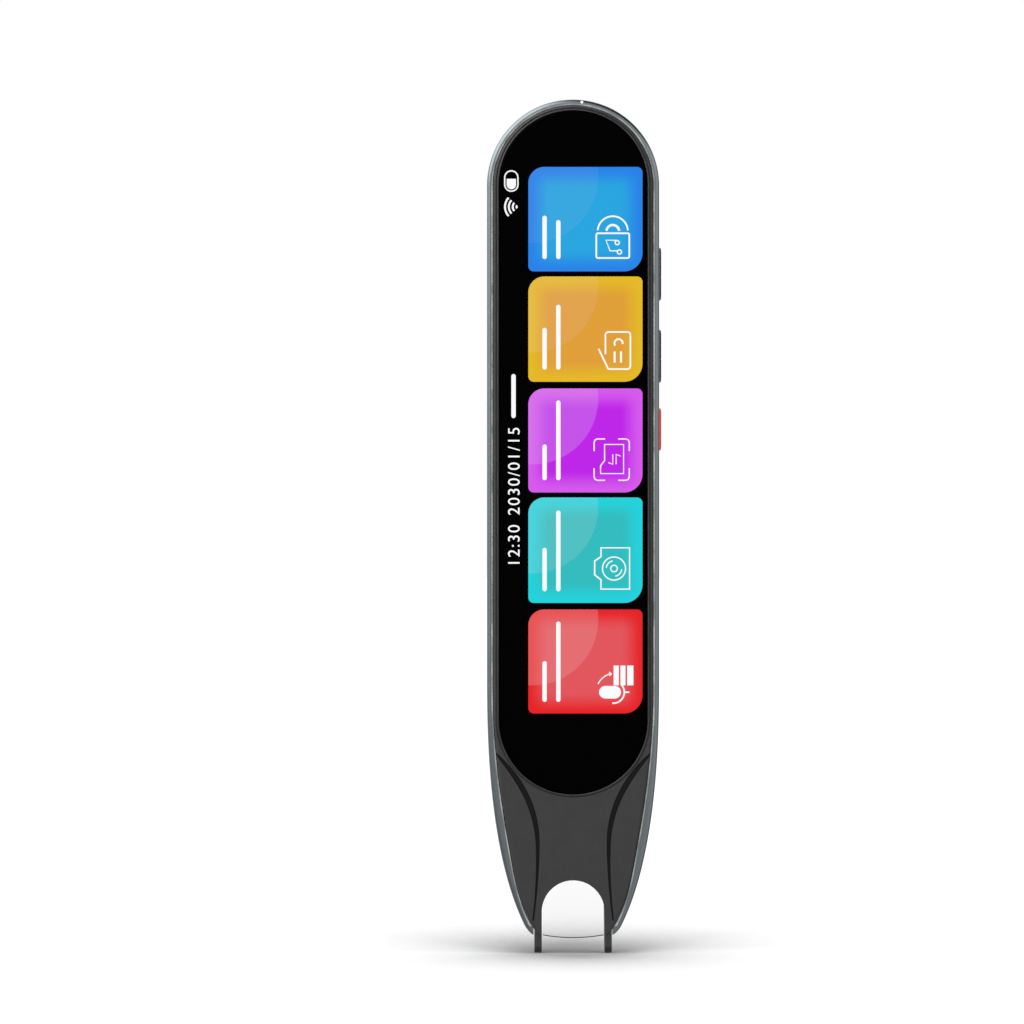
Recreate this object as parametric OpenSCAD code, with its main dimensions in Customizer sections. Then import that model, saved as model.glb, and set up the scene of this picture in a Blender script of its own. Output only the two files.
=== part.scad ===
// Handheld scanning translator: a slim pen-shaped unit with a long touch screen,
// a crowned metal shell, three side keys and a sprung scanning fork at the tip.
// Millimetres. The fork's tips stand at z = 0, the screen faces -Y, the keys are on +X.

/* [Body] */
// Width across the metal shell
body_w = 31.4; // [30.6:0.1:34]
// Depth from the glass face to the back
body_d = 11.8; // [11.6:0.1:13]
// Length of the shell, without the fork
body_l = 152.5; // [150:0.5:165]
// Thickness of the shell's wall
wall = 1.1; // [0.9:0.05:1.3]
// Height over which the sides draw in towards the tip
taper_l = 47.3; // [44:0.1:50]
// Width of the body at its lower end, before its corners are rounded
tip_w = 15.46; // [14.5:0.02:18]
// Squareness of the taper (2 is an ellipse)
taper_power = 2.4; // [2:0.1:2.8]
// Depth of the flat side wall, from the front rim to the crowned back
side_flat = 3.45; // [3.2:0.05:3.6]
// Set-back of the shell's front rim behind the glass face
rim_set_back = 1.45; // [1.3:0.05:1.6]
// Squareness of the crowned back (2 is an ellipse)
crown_power = 2.5; // [2.3:0.1:2.8]

/* [Screen] */
// Height of the glass's lower end above the fork's tips
glass_z = 29; // [28.6:0.1:31]
// Thickness of the cover glass
glass_t = 1.1; // [0.9:0.05:1.2]
// Face width of the ring round the glass
bezel_w = 0.3; // [0.25:0.05:0.4]
// Width of the groove round that ring
groove_w = 0.25; // [0.2:0.05:0.35]
// Width of the frame's strip outside the groove
strip_w = 0.4; // [0.35:0.05:0.6]
// How far the glass stands above the frame
glass_lift = 0.35; // [0.25:0.05:0.45]
// Thickness of the display panel
panel_t = 1.7; // [1.5:0.05:1.8]
// Bare glass beside the display panel
panel_side = 0.75; // [0.7:0.05:1.2]
// Bare glass below the display panel
panel_chin = 12.5; // [12:0.5:16]

/* [Keys] */
// Distance of the upper voice key's middle below the top end
upper_key_drop = 31.7; // [30:0.1:34]
// Distance from the upper to the lower voice key
voice_key_pitch = 15; // [14:0.1:16]
// Distance from the lower voice key to the power key
power_key_pitch = 13.4; // [13:0.1:15]
// Length of a voice key
voice_key_l = 9.7; // [8.5:0.1:10.5]
// Length of the power key
power_key_l = 7.8; // [7:0.1:9]
// Width of every key
key_w = 2.8; // [2.4:0.05:3]
// How far a key stands out of the shell
key_lift = 0.45; // [0.4:0.05:0.6]
// Travel of a key
key_travel = 0.35; // [0.2:0.05:0.35]
// Gap round a key in the shell
key_gap = 0.1; // [0.06:0.01:0.15]
// Distance of the keys' middle line behind the front rim
key_set_back = 3.4; // [3.3:0.05:3.5]

/* [Card slot] */
// Distance of the slot's middle below the top end
slot_drop = 15.65; // [15:0.05:17]
// Length of the slot
slot_l = 12.1; // [11.6:0.1:12.6]
// Width of the slot
slot_w = 1.6; // [1.3:0.05:1.7]
// Distance of the slot's middle line behind the front rim
slot_set_back = 5.05; // [4.95:0.05:5.2]

/* [Camera plate] */
// Distance of the plate's middle below the top end
plate_drop = 22.1; // [21.5:0.1:24]
// Width over the trim ring
plate_w = 11.2; // [10.8:0.1:12]
// Length over the trim ring
plate_l = 23.8; // [23:0.1:26]
// Face width of the trim ring
trim_w = 0.5; // [0.4:0.05:0.7]
// How far the trim ring stands proud of the back
trim_lift = 0.1; // [0.05:0.05:0.3]
// Diameter of the camera's bezel
camera_d = 7.6; // [7:0.1:8]
// Distance of the camera below the plate's middle
camera_drop = 6.2; // [6:0.1:6.6]
// Distance of the speaker holes above the plate's middle
holes_rise = 5.4; // [5:0.1:5.6]
// Diameter of a speaker hole
hole_d = 0.84; // [0.6:0.02:0.95]
// Pitch of the speaker holes
hole_pitch = 1.75; // [1.5:0.05:1.8]

/* [Scanning end] */
// Length of the fork below the shell
nib_out = 3; // [2.5:0.1:4]
// Clear width between the fork's legs
nib_gap = 11.4; // [11:0.1:12]
// Thickness of a leg
nib_t = 1.35; // [1.2:0.05:1.5]
// Length of a leg up to its shoulder
nib_leg_l = 13.4; // [12.5:0.1:13.6]
// Upward travel of the fork on the paper
nib_travel = 0.5; // [0.3:0.05:0.6]
// Width over the tunnel's rim on the back
arch_w = 13; // [12.8:0.1:13.4]
// Height of the tunnel's crown above the shell's lower end
arch_h = 20.2; // [19.8:0.1:20.5]
// Thickness of the tunnel's wall
tunnel_t = 1; // [0.8:0.05:1.1]
// Height of the notch in the front cover above the shell's lower end
notch_h = 10.3; // [9.6:0.1:10.8]
// Thickness of the clear scanning window
window_t = 0.7; // [0.6:0.05:0.8]

/* [Inside] */
// Thickness of the mid plate
mid_t = 0.6; // [0.4:0.05:0.7]
// Thickness of the circuit board
board_t = 0.8; // [0.6:0.05:0.9]
// Gap between the battery and the circuit board
battery_gap = 0.6; // [0.4:0.1:3]
// Width of the battery
battery_w = 22.4; // [20:0.1:22.6]
// Thickness of the battery
battery_t = 5.2; // [4.6:0.1:5.4]
// Diameter of the screws
screw_d = 1.4; // [1.2:0.1:1.5]
// Gap between the front frame and the shell
frame_gap = 0.1; // [0.08:0.01:0.15]

/* [Hidden] */
$fn = 48;
eps = 0.01;

// Levels and heights of the body
half_w = body_w / 2;
front_y = -body_d / 2;
back_y = body_d / 2;
rim_y = front_y + rim_set_back;
side_y = rim_y + side_flat;
end_z = nib_out;
top_z = end_z + body_l;
crown_z = top_z - half_w;
taper_z = end_z + taper_l;
taper_reach = taper_l / pow(1 - pow(tip_w / (2 * half_w), 2), 1 / taper_power);
rim_round = 0.5;
rim_bevel = 0.25;
corner_z = 2;
corner_x = 1.1;
back_fall = 1.8;
crown_steps = 10;
taper_steps = 14;

// USB port
usb_w = 8.94;
usb_h = 3.2;
usb_l = 7;
usb_wall = 0.3;
usb_gap = 0.08;
usb_y = side_y + 0.05;
usb_top = top_z - 1.1;

// Front frame, glass and display
frame_in = wall + frame_gap;
bezel_gap = 0.05;
bezel_in = frame_in + strip_w + groove_w;
glass_in = bezel_in + bezel_w + bezel_gap;
glass_w = body_w - 2 * glass_in;
glass_top = top_z - glass_in;
glass_l = glass_top - glass_z;
glass_mid = (glass_top + glass_z) / 2;
glass_back = front_y + glass_t;
frame_front = front_y + glass_lift;
frame_back = glass_back + panel_t;
frame_end = 0.3;
ledge_w = 0.6;
panel_w = glass_w - 2 * panel_side;
panel_low = glass_z + panel_chin;
panel_top = crown_z + sqrt(pow(glass_w / 2 - 0.08, 2) - pow(panel_w / 2, 2));
flex_loop = panel_top + 0.74 * (usb_top - usb_l - panel_top);
cover_t = 0.7;
cover_back = frame_front + cover_t;
floor_back = glass_back + 1.05;
line_low = end_z + 3;
line_high = glass_z + 7.8;

// Keys, from the top end down
key_y = rim_y + key_set_back;
key_z_upper = top_z - upper_key_drop;
key_z_lower = key_z_upper - voice_key_pitch;
key_z_power = key_z_lower - power_key_pitch;
flange_edge = 0.4;
flange_t = 0.8;
flange_x = half_w - wall - key_gap;
switch_x = flange_x - flange_t - 0.5;
switch_w = 2.2;
switch_l = 4.8;
switch_h = 2.3;
nub_d = 1.3;
key_places = [
    [key_z_upper, voice_key_l], [key_z_lower, voice_key_l], [key_z_power, power_key_l]
];

// Mid plate and what it carries
mid_back = frame_back + mid_t;
mid_low = glass_z + 7;
head_over = 1.3;
screw_head_d = screw_d + head_over;
screw_bite = 2.4;
drive_w = 0.3;
drive_l = 1.6;
drive_t = 0.25;
pad_over = 1.7;
boss_wall = 0.8;
boss_d = screw_d + 2 * boss_wall;
screw_places = [
    for (s = [-1, 1]) [s * (half_w - 5.9), mid_low + 2.5],
    for (s = [-1, 1]) [s * (half_w - 5.3), key_z_power + 6.6],
    for (s = [-1, 1]) [s * (usb_w / 2 + boss_d / 2 + 1.23), crown_z + 8.8]
];

// Circuit board
slot_y = rim_y + slot_set_back;
board_in = 2.8;
board_back = slot_y - 0.7;
board_front = board_back - board_t;
board_low = key_z_power - 2.9;
battery_up = 1.5;
battery_low = panel_low + battery_up;
battery_head = 1.4;
cell_round = 1.5;
guard_w = 16;
guard_t = 1.2;
chip_w = 8;
chip_l = 7;
chip_t = 1.1;
chip_up = 12;
chip_pitch = 10;
battery_l = board_low - battery_gap - battery_head - battery_low;
slot_z = top_z - slot_drop;
socket_x = half_w - 3.9;
socket_l = 14.4;
socket_w = 13.4;
socket_t = 1.4;

// Camera plate
plate_z = top_z - plate_drop;
camera_z = plate_z - camera_drop;
holes_z = plate_z + holes_rise;
trim_face = back_y + trim_lift;
plate_face = trim_face - 0.25;
plate_seat = back_y - 1.4;
ledge_back = plate_seat - 0.6;
plate_opening = plate_w - 2;
trim_gap = 0.05;
camera_hole_gap = 0.03;
mesh_w = 4 * hole_pitch + hole_d + 0.5;
mesh_h = 2 * hole_pitch + hole_d + 0.6;
mesh_t = 0.2;
speaker_rim_w = 2.46;
speaker_rim_h = 4.26;
speaker_w = mesh_w + speaker_rim_w;
speaker_h = mesh_h + speaker_rim_h;
speaker_step = 0.8;
speaker_face_t = 0.5;
rear_cam_w = camera_d + 0.8;
rear_cam_t = 3.3;
can_up = 4.5;
can_gap = 1;
can_low = board_low + can_up;
can_high = camera_z - rear_cam_w / 2 - can_gap;
can_w = 16.4;
can_t = 1.3;
can_wall = 0.2;

// Scanning end
tunnel_low = nib_leg_l + nib_travel + 0.1;
arch_top = end_z + arch_h;
arch_mid = arch_top - arch_w / 2;
tunnel_front = 0.85;
tunnel_lift = 0.15;
leg_in = nib_gap / 2;
leg_out = leg_in + nib_t;
leg_front = cover_back + 0.1;
leg_tip_y = leg_front + 1.75;
leg_fall = 2.4;
shell_gap = 0.15;
arm_in = arch_w / 2 + 0.2;
arm_t = 1.2;
arm_front = floor_back + 0.15;
arm_back = side_y - 0.2;
arm_mid = (arm_front + arm_back) / 2;
bridge_low = arch_top + 2;
bridge_t = 2;
bridge_top = bridge_low + bridge_t;
nib_boss_d = 1.6;
nib_switch_low = bridge_top + nib_travel + 1.1;
spring_l = 5.8;
shelf_z = bridge_top + spring_l;
shelf_t = 1.2;
spring_x = 5.2;
spring_d = 2;
spring_wire = 0.32;
spring_turns = 6;
window_gap = 0.15;
window_w = nib_gap - 2 * window_gap;
window_top = end_z + notch_h + 1.2;
window_bow = 0.5;
scan_board_z = arch_top + 0.3;
scan_board_t = 0.6;
scan_board_in = 0.5;
scan_board_w = arch_w - 2 * scan_board_in;
scan_cam_back = skin_y(scan_board_w / 2, scan_board_z, wall + 0.1);
lens_y = (side_y + scan_cam_back) / 2;
scan_lens_d = 2.2;
barrel_d = scan_lens_d + 0.8;
barrel_hole_d = barrel_d + 0.2;
scan_cam_w = 6;
scan_cam_l = 4.6;
lamp_x = 4;
lamp_w = 1.2;
post_w = 1.4;
post_t = 1.9;
flex_t = 0.15;
flex_w = 5;
flex_gap = 0.25;
flex_tail = 2.8;

// Microphone and status light
mic_w = 2.8;
mic_t = 1;
mic_l = 4;
mic_in = 3.7;
mic_lean = 60;
mic_hole_d = 0.9;
light_d = 0.5;
light_l = 2.4;
light_x = 1.6;

metal = [0.48, 0.53, 0.52];
dark = [0.24, 0.235, 0.24];
black = [0.09, 0.09, 0.1];

// ---- Shape of the body ------------------------------------------------------------------

// Half width of the sides at a height, and how fast it grows there
function side_w(z) =
    z >= taper_z ? half_w : half_w * sqrt(1 - pow((taper_z - z) / taper_reach, taper_power));
function side_slope(z) =
    z >= taper_z ? 0
        : half_w * half_w * taper_power * pow((taper_z - z) / taper_reach, taper_power - 1)
            / (2 * taper_reach * side_w(z));

// What the rounded lower corners take off, at a height above an end set in by "end_in"
function corner_cut(z, end_in, size) =
    let (u = min(1, max(0, (end_z + end_in + corner_z - z) / corner_z))) size * (1 - sqrt(1 - u * u));

// Half width of the body, set in by "in" at right angles to its outline
function half_at(z, in, end_in) =
    side_w(z) - in * sqrt(1 + pow(side_slope(z), 2)) - corner_cut(z, end_in, max(0, corner_x - in / 2));

// Depth of the back on the middle line, which falls away towards the tip
function back_at(z, in) =
    let (crown = (back_y - side_y) * pow(side_w(z) / half_w, back_fall))
    side_y + max(0.1, crown - in - corner_cut(z, in, corner_x / 2));

// Depth of the back at any place on it
function skin_y(x, z, in) =
    let (
        r = z > crown_z ? sqrt(x * x + pow(z - crown_z, 2)) / (half_w - in) : abs(x) / half_at(z, in, in),
        back = z > crown_z ? back_y - in : back_at(z, in)
    )
    side_y + (back - side_y) * pow(max(0, 1 - pow(r, crown_power)), 1 / crown_power);

// Right half of a cross-section: the rim, the flat side and the crowned back
function half_section(w, back, in) = concat(
    in > 0
        ? [[w + rim_bevel, front_y - 1], [w + rim_bevel, rim_y], [w, rim_y + rim_bevel]]
        : [[w - rim_round, rim_y], [w - 0.3 * rim_round, rim_y + 0.3 * rim_round], [w, rim_y + rim_round]],
    [
        for (i = [0:crown_steps])
            let (a = 90 * i / crown_steps, p = 2 / crown_power)
            [w * pow(cos(a), p), side_y + (back - side_y) * pow(sin(a), p)]
    ]
);
function mirrored(right) =
    concat(right, [for (i = [len(right) - 2:-1:0]) [-right[i][0], right[i][1]]]);

// Heights of the sections of the tapered end, closer together near the tip
function taper_heights(end_in) = [
    for (i = [0:taper_steps])
        end_z + end_in + (taper_l - end_in) * pow(i / taper_steps, 1.6)
];

// A solid through rings of equally many points
module loft(rings) {
    n = len(rings[0]);
    last = (len(rings) - 1) * n;
    sides = [
        for (k = [0:len(rings) - 2], i = [0:n - 1])
            let (a = k * n + i, b = k * n + (i + 1) % n)
            each [[a, a + n, b + n], [a, b + n, b]]
    ];
    caps = [[for (i = [0:n - 1]) i], [for (i = [n - 1:-1:0]) last + i]];
    polyhedron([for (ring = rings) each ring], concat(sides, caps));
}

// The shell's outer form, or with "in" the hollow that leaves that wall
module body_form(in) {
    heights = taper_heights(in);
    w = half_w - in;
    profile = half_section(w, back_y - in, in);
    translate([0, 0, crown_z])
        rotate([-90, 0, 0])
            rotate([0, 0, 180])
                rotate_extrude(angle = 180, $fn = 96)
                    polygon(concat(profile, [[0, profile[0][1]]]));
    translate([0, 0, taper_z])
        linear_extrude(crown_z - taper_z)
            polygon(mirrored(profile));
    loft([
        for (z = heights)
            [for (p = mirrored(half_section(half_at(z, in, in), back_at(z, in), in))) [p[0], p[1], z]]
    ]);
}

// Outline of the body seen from the front, set in by "in", its end by "end_in"
function outline(in, end_in) =
    let (up = [for (z = taper_heights(end_in)) [half_at(z, in, end_in), z]], n = len(up))
    concat(
        up,
        [for (a = [0:6:180]) [(half_w - in) * cos(a), crown_z + (half_w - in) * sin(a)]],
        [for (i = [n - 1:-1:0]) [-up[i][0], up[i][1]]]
    );

// A flat piece with the body's outline, through levels of [y, in] from the back to the front
module outline_form(levels, end_in) {
    loft([for (l = levels) [for (p = outline(l[1], end_in)) [p[0], l[0], p[1]]]]);
}

// ---- Small shapes -----------------------------------------------------------------------

module block(x0, x1, y0, y1, z0, z1) {
    translate([x0, y0, z0]) cube([x1 - x0, y1 - y0, z1 - z0]);
}

module stadium(w, l) {
    square([w, l - w], center = true);
    for (s = [-1, 1]) translate([0, s * (l - w) / 2]) circle(d = w, $fn = 96);
}

// A stadium of width w and length l, seen from the front, from y0 to y1
module slab_y(w, l, y0, y1, z) {
    translate([0, y1, z]) rotate([90, 0, 0]) linear_extrude(y1 - y0) stadium(w, l);
}

// A stadium seen from the side, from x0 to x1
module slab_x(w, l, x0, x1, y, z) {
    translate([x0, y, z]) rotate([90, 0, 90]) linear_extrude(x1 - x0) stadium(w, l);
}

module rod_x(d, x0, x1, y, z) {
    translate([x0, y, z]) rotate([0, 90, 0]) cylinder(d = d, h = x1 - x0);
}

module rod_y(d, y0, y1, x, z) {
    translate([x, y0, z]) rotate([-90, 0, 0]) cylinder(d = d, h = y1 - y0);
}

module rod_z(d, z0, z1, x, y) {
    translate([x, y, z0]) cylinder(d = d, h = z1 - z0);
}

module rounded(w, h, r) {
    square([w - 2 * r, h], center = true);
    square([w, h - 2 * r], center = true);
    for (x = [-1, 1], y = [-1, 1]) translate([x * (w / 2 - r), y * (h / 2 - r)]) circle(r);
}

// A drawing in x and z, made solid from y0 to y1
module drawn_y(y0, y1) {
    translate([0, y1, 0]) rotate([90, 0, 0]) linear_extrude(y1 - y0) children();
}

// A drawing in y and z, made solid from x0 to x1
module drawn_x(x0, x1) {
    translate([x0, 0, 0]) rotate([90, 0, 90]) linear_extrude(x1 - x0) children();
}

// An upright opening of width w, round at its top
module arch(w, low, top) {
    spring = top - w / 2;
    translate([-w / 2, low]) square([w, spring - low]);
    intersection() {
        translate([0, spring]) circle(d = w, $fn = 96);
        translate([-w / 2, spring]) square([w, w / 2]);
    }
}

// ---- Shell and front --------------------------------------------------------------------

module rear_housing() {
    opening = leg_out + shell_gap;
    color(metal) difference() {
        union() {
            difference() {
                body_form(0);
                body_form(wall);
            }
            for (p = screw_places)
                rod_y(boss_d, mid_back, skin_y(p[0], p[1], wall) + wall / 2, p[0], p[1]);
            // Seat of the camera plate
            slab_y(plate_w + 2.4, plate_l + 2.4, ledge_back, back_y - wall + 0.3, plate_z);
        }
        slab_y(plate_w + 2 * trim_gap, plate_l + 2 * trim_gap, plate_seat, back_y + 1, plate_z);
        slab_y(plate_opening, plate_l - 2, ledge_back - 1, plate_seat + eps, plate_z);
        for (p = screw_places)
            rod_y(screw_d, mid_back - 1, mid_back + screw_bite + 0.2, p[0], p[1]);
        for (k = key_places) {
            slab_x(key_w + 2 * key_gap, k[1] + 2 * key_gap, flange_x - 1, half_w + 2, key_y, k[0]);
            block(
                flange_x - 2, half_w - wall, key_y - key_w / 2 - flange_edge - 0.1,
                key_y + key_w / 2 + flange_edge + 0.1, k[0] - k[1] / 2 - 0.6, k[0] + k[1] / 2 + 0.6
            );
        }
        slab_x(slot_w, slot_l, socket_x, half_w + 2, slot_y, slot_z);
        translate([0, usb_y, usb_top - usb_l]) linear_extrude(usb_l + 4)
            rounded(usb_w + 2 * usb_gap, usb_h + 2 * usb_gap, 1.3);
        translate([0, key_y - mic_hole_d, crown_z]) rotate([0, -mic_lean, 0])
            cylinder(d = mic_hole_d, h = half_w + 1);
        rod_y(light_d, front_y, rim_y + light_l, light_x, top_z - wall / 2);
        // Seat of the front frame's lower end
        intersection() {
            outline_form([[frame_back + 0.05, frame_in - 0.05], [rim_y - 1, frame_in - 0.05]], frame_end - 0.05);
            block(-half_w, half_w, rim_y - 1, frame_back + 0.05, 0, end_z + 4);
        }
        // Rear mouth of the scanning tunnel, and the room for the fork below it
        drawn_y(-20, 20) {
            arch(arch_w + 0.1, end_z - 5, arch_top + 0.05);
            translate([-opening, end_z - 5]) square([2 * opening, tunnel_low - end_z + 5]);
        }
    }
}

// Distance from the middle line of a moulded line on the lower cover
function line_x(z) =
    let (waist = end_z + 16)
    leg_out - 0.6 + (z > waist ? 0.0142 * pow(z - waist, 2.2) : 0.005 * pow(waist - z, 2));

// Half its width there: it is widest in its upper half and thin at both ends
function line_half(z) =
    let (t = (z - line_low) / (line_high - line_low)) 0.15 + 0.7 * pow(t, 1.5) * (1 - pow(t, 10));

module moulded_lines() {
    steps = 28;
    zs = [for (i = [0:steps]) line_low + (line_high - line_low) * i / steps];
    for (s = [-1, 1])
        drawn_y(frame_front - 1, frame_front + 0.3)
            polygon(concat(
                [for (z = zs) [s * (line_x(z) - line_half(z)), z]],
                [for (i = [steps:-1:0]) [s * (line_x(zs[i]) + line_half(zs[i])), zs[i]]]
            ));
}

module front_frame() {
    ring_w = glass_w + 2 * (bezel_gap + bezel_w);
    ring_l = glass_l + 2 * (bezel_gap + bezel_w);
    color(dark) difference() {
        union() {
            difference() {
                outline_form([
                    [frame_back, frame_in], [frame_front + 0.45, frame_in],
                    [frame_front + 0.12, frame_in + 0.15], [frame_front, frame_in + 0.45]
                ], frame_end);
                // Room behind the lower cover
                intersection() {
                    outline_form([[frame_back + 1, frame_in + 0.9], [cover_back, frame_in + 0.9]], 1.4);
                    block(-half_w, half_w, cover_back, 0, 0, glass_z - 1.4);
                }
                intersection() {
                    outline_form([[frame_back + 1, frame_in + 0.9], [floor_back, frame_in + 0.9]], 1.4);
                    block(-half_w, half_w, floor_back, 0, glass_z - 2, panel_low);
                }
                block(-leg_out - shell_gap, leg_out + shell_gap, cover_back, 0, 0, arch_top);
            }
            // Pads under the lower screws
            for (p = [screw_places[0], screw_places[1]])
                rod_y(screw_head_d + pad_over, floor_back - 0.3, frame_back, p[0], p[1]);
            // Guides beside the fork's arms
            for (s = [-1, 1])
                translate([s * (arm_in + arm_t + 0.5), 0, 0])
                    block(-0.4, 0.4, cover_back - 0.2, arm_back - 0.8, tunnel_low + 2, arch_top + 1);
            // Shelf over the springs and the fork's switch
            block(-7, 7, floor_back - 0.3, arm_back, shelf_z, shelf_z + shelf_t);
        }
        slab_y(ring_w + 0.04, ring_l + 0.04, frame_front - 1, glass_back, glass_mid);
        slab_y(ring_w + 2 * groove_w, ring_l + 2 * groove_w, frame_front - 1, frame_front + 0.3, glass_mid);
        // Opening for the display panel
        intersection() {
            slab_y(glass_w - 2 * ledge_w, glass_l - 2 * ledge_w, glass_back - 1, frame_back + 1, glass_mid);
            block(-half_w, half_w, front_y, back_y, panel_low - 0.1, top_z);
        }
        drawn_y(glass_back - 1, frame_back + 1)
            translate([0, (panel_low + panel_top) / 2])
                rounded(panel_w + 0.2, panel_top - panel_low + 0.2, 1.1);
        moulded_lines();
        drawn_y(frame_front - 1, cover_back + 3) arch(nib_gap, -5, end_z + notch_h);
    }
}

module glass_bezel() {
    w = glass_w + 2 * (bezel_gap + bezel_w);
    l = glass_l + 2 * (bezel_gap + bezel_w);
    color("dimgray") difference() {
        slab_y(w, l, front_y + 0.18, glass_back, glass_mid);
        slab_y(glass_w + 2 * bezel_gap, glass_l + 2 * bezel_gap, front_y - 1, glass_back + 1, glass_mid);
    }
}

module cover_glass() {
    color(black) slab_y(glass_w, glass_l, front_y, glass_back, glass_mid);
}

module display_panel() {
    color([0.2, 0.45, 0.8])
        drawn_y(glass_back, frame_back)
            translate([0, (panel_low + panel_top) / 2])
                rounded(panel_w, panel_top - panel_low, 1);
}

module display_flex() {
    y = glass_back + 0.9;
    loop = flex_loop;
    color("darkorange") drawn_x(-5, 5) polygon([
        [y, panel_top], [y, loop], [board_front, loop], [board_front, loop - 6],
        [board_front - flex_t, loop - 6], [board_front - flex_t, loop - flex_t],
        [y + flex_t, loop - flex_t], [y + flex_t, panel_top]
    ]);
}

// ---- Inner structure --------------------------------------------------------------------

module mid_plate() {
    color("silver") difference() {
        union() {
            intersection() {
                outline_form([[mid_back, frame_in + 0.2], [frame_back, frame_in + 0.2]], 1);
                block(-half_w, half_w, frame_back, mid_back, mid_low, top_z);
            }
            // Standoffs of the circuit board
            for (x = [-8.8, 8.8], z = [board_low + 5, slot_z - 2])
                rod_y(2.6, mid_back - 0.1, board_front, x, z);
        }
        for (p = screw_places) {
            rod_y(screw_d + 0.1, frame_back - 1, mid_back + 1, p[0], p[1]);
            translate([p[0], frame_back - eps, p[1]]) rotate([-90, 0, 0])
                cylinder(d1 = screw_head_d + 0.06, d2 = screw_d + 0.1, h = mid_t * 0.75);
        }
        for (k = key_places)
            block(
                switch_x - switch_w - 0.2, half_w, frame_back - 1, mid_back + 1,
                k[0] - k[1] / 2 - 0.8, k[0] + k[1] / 2 + 0.8
            );
        // Ways through for the display's flex and the USB port
        block(-5.3, 5.3, frame_back - 1, mid_back + 1, flex_loop - 0.7, flex_loop + 0.3);
        block(-usb_w / 2 - 0.2, usb_w / 2 + 0.2, frame_back - 1, mid_back + 1, usb_top - usb_l - 0.2, top_z);
        // Lightening holes over the battery
        for (i = [0:3])
            slab_y(9, 7, frame_back - 1, mid_back + 1, panel_low + 9 + 10.5 * i);
    }
}

module screws() {
    color("gray") for (p = screw_places) difference() {
        translate([p[0], frame_back, p[1]]) rotate([-90, 0, 0]) {
            cylinder(d1 = screw_head_d, d2 = screw_d, h = mid_t * 0.75);
            cylinder(d = screw_d, h = mid_t + screw_bite);
        }
        for (turn = [0, 90])
            translate([p[0], frame_back, p[1]]) rotate([0, turn, 0])
                block(-drive_w / 2, drive_w / 2, -1, drive_t, -drive_l / 2, drive_l / 2);
    }
}

module battery() {
    top = battery_low + battery_l;
    color("lightsteelblue") {
        translate([0, mid_back + battery_t / 2, battery_low])
            linear_extrude(battery_l) rounded(battery_w, battery_t, cell_round);
        // Protection board on its upper end
        block(
            -guard_w / 2, guard_w / 2, mid_back + 0.6, mid_back + 0.6 + guard_t,
            top - 0.1, top + battery_head
        );
    }
}

module main_board() {
    color("darkgreen") difference() {
        union() {
            intersection() {
                outline_form([[board_back, board_in], [board_front, board_in]], 1);
                block(-half_w, half_w, board_front, board_back, board_low, top_z);
            }
            // Chips and connectors on both faces
            for (z = [board_low + chip_up, board_low + chip_up + chip_pitch])
                block(-chip_w / 2, chip_w / 2, board_front - chip_t, board_front + 0.1, z, z + chip_l);
            for (x = [-9, -5.5]) block(x, x + 2, board_front - 0.9, board_front + 0.1, camera_z, camera_z + 3);
            block(-9.5, -5.5, board_back - 0.1, board_back + 1, camera_z - 3, camera_z + 5);
            block(-11, -6, board_back - 0.1, board_back + 0.9, slot_z - 5, slot_z + 1);
        }
        for (p = screw_places) rod_y(boss_d + 0.4, board_front - 2, board_back + 1, p[0], p[1]);
        for (k = key_places)
            block(
                switch_x - switch_w - 0.1, half_w, board_front - 1, board_back + 1,
                k[0] - switch_l / 2 - 0.1, k[0] + switch_l / 2 + 0.1
            );
        block(
            -usb_w / 2 - 0.1, usb_w / 2 + 0.1, board_front - 1, board_back + 1,
            usb_top - usb_l - 0.1, top_z
        );
    }
}

module shield_can() {
    w = can_w / 2;
    inner = w - can_wall;
    color("lightgray") difference() {
        block(-w, w, board_back, board_back + can_t, can_low, can_high);
        block(
            -inner, inner, board_back - 1, board_back + can_t - can_wall,
            can_low + can_wall, can_high - can_wall
        );
    }
}

// ---- Keys -------------------------------------------------------------------------------

module side_switches() {
    color("gainsboro") for (k = key_places) difference() {
        block(
            switch_x - switch_w, switch_x, key_y - switch_h / 2, key_y + switch_h / 2,
            k[0] - switch_l / 2, k[0] + switch_l / 2
        );
        rod_x(nub_d + 0.3, switch_x - 0.9, switch_x + 1, key_y, k[0]);
    }
}

// A key: the cap in the wall, the flange behind it and the nub that presses the switch
module key(z, l) {
    slab_x(key_w, l, flange_x - flange_t, half_w + key_lift - 0.15, key_y, z);
    slab_x(key_w - 0.3, l - 0.3, flange_x - flange_t, half_w + key_lift, key_y, z);
    block(
        flange_x - flange_t, flange_x, key_y - key_w / 2 - flange_edge, key_y + key_w / 2 + flange_edge,
        z - l / 2 - flange_edge, z + l / 2 + flange_edge
    );
    rod_x(nub_d, switch_x - 0.2, flange_x - flange_t + 0.1, key_y, z);
}

module upper_voice_key() {
    color(dark) key(key_z_upper, voice_key_l);
}

module lower_voice_key() {
    color(dark) key(key_z_lower, voice_key_l);
}

module power_key() {
    color([0.85, 0.13, 0.15]) key(key_z_power, power_key_l);
}

// ---- Sockets, sound and camera ----------------------------------------------------------

module card_socket() {
    color("silver") difference() {
        block(
            socket_x - socket_l, socket_x, board_back, board_back + socket_t,
            slot_z - socket_w / 2, slot_z + socket_w / 2
        );
        block(
            socket_x - socket_l + 1, socket_x + 1, slot_y - 0.5, slot_y + 0.5,
            slot_z - socket_w / 2 + 1, slot_z + socket_w / 2 - 1
        );
    }
}

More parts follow.
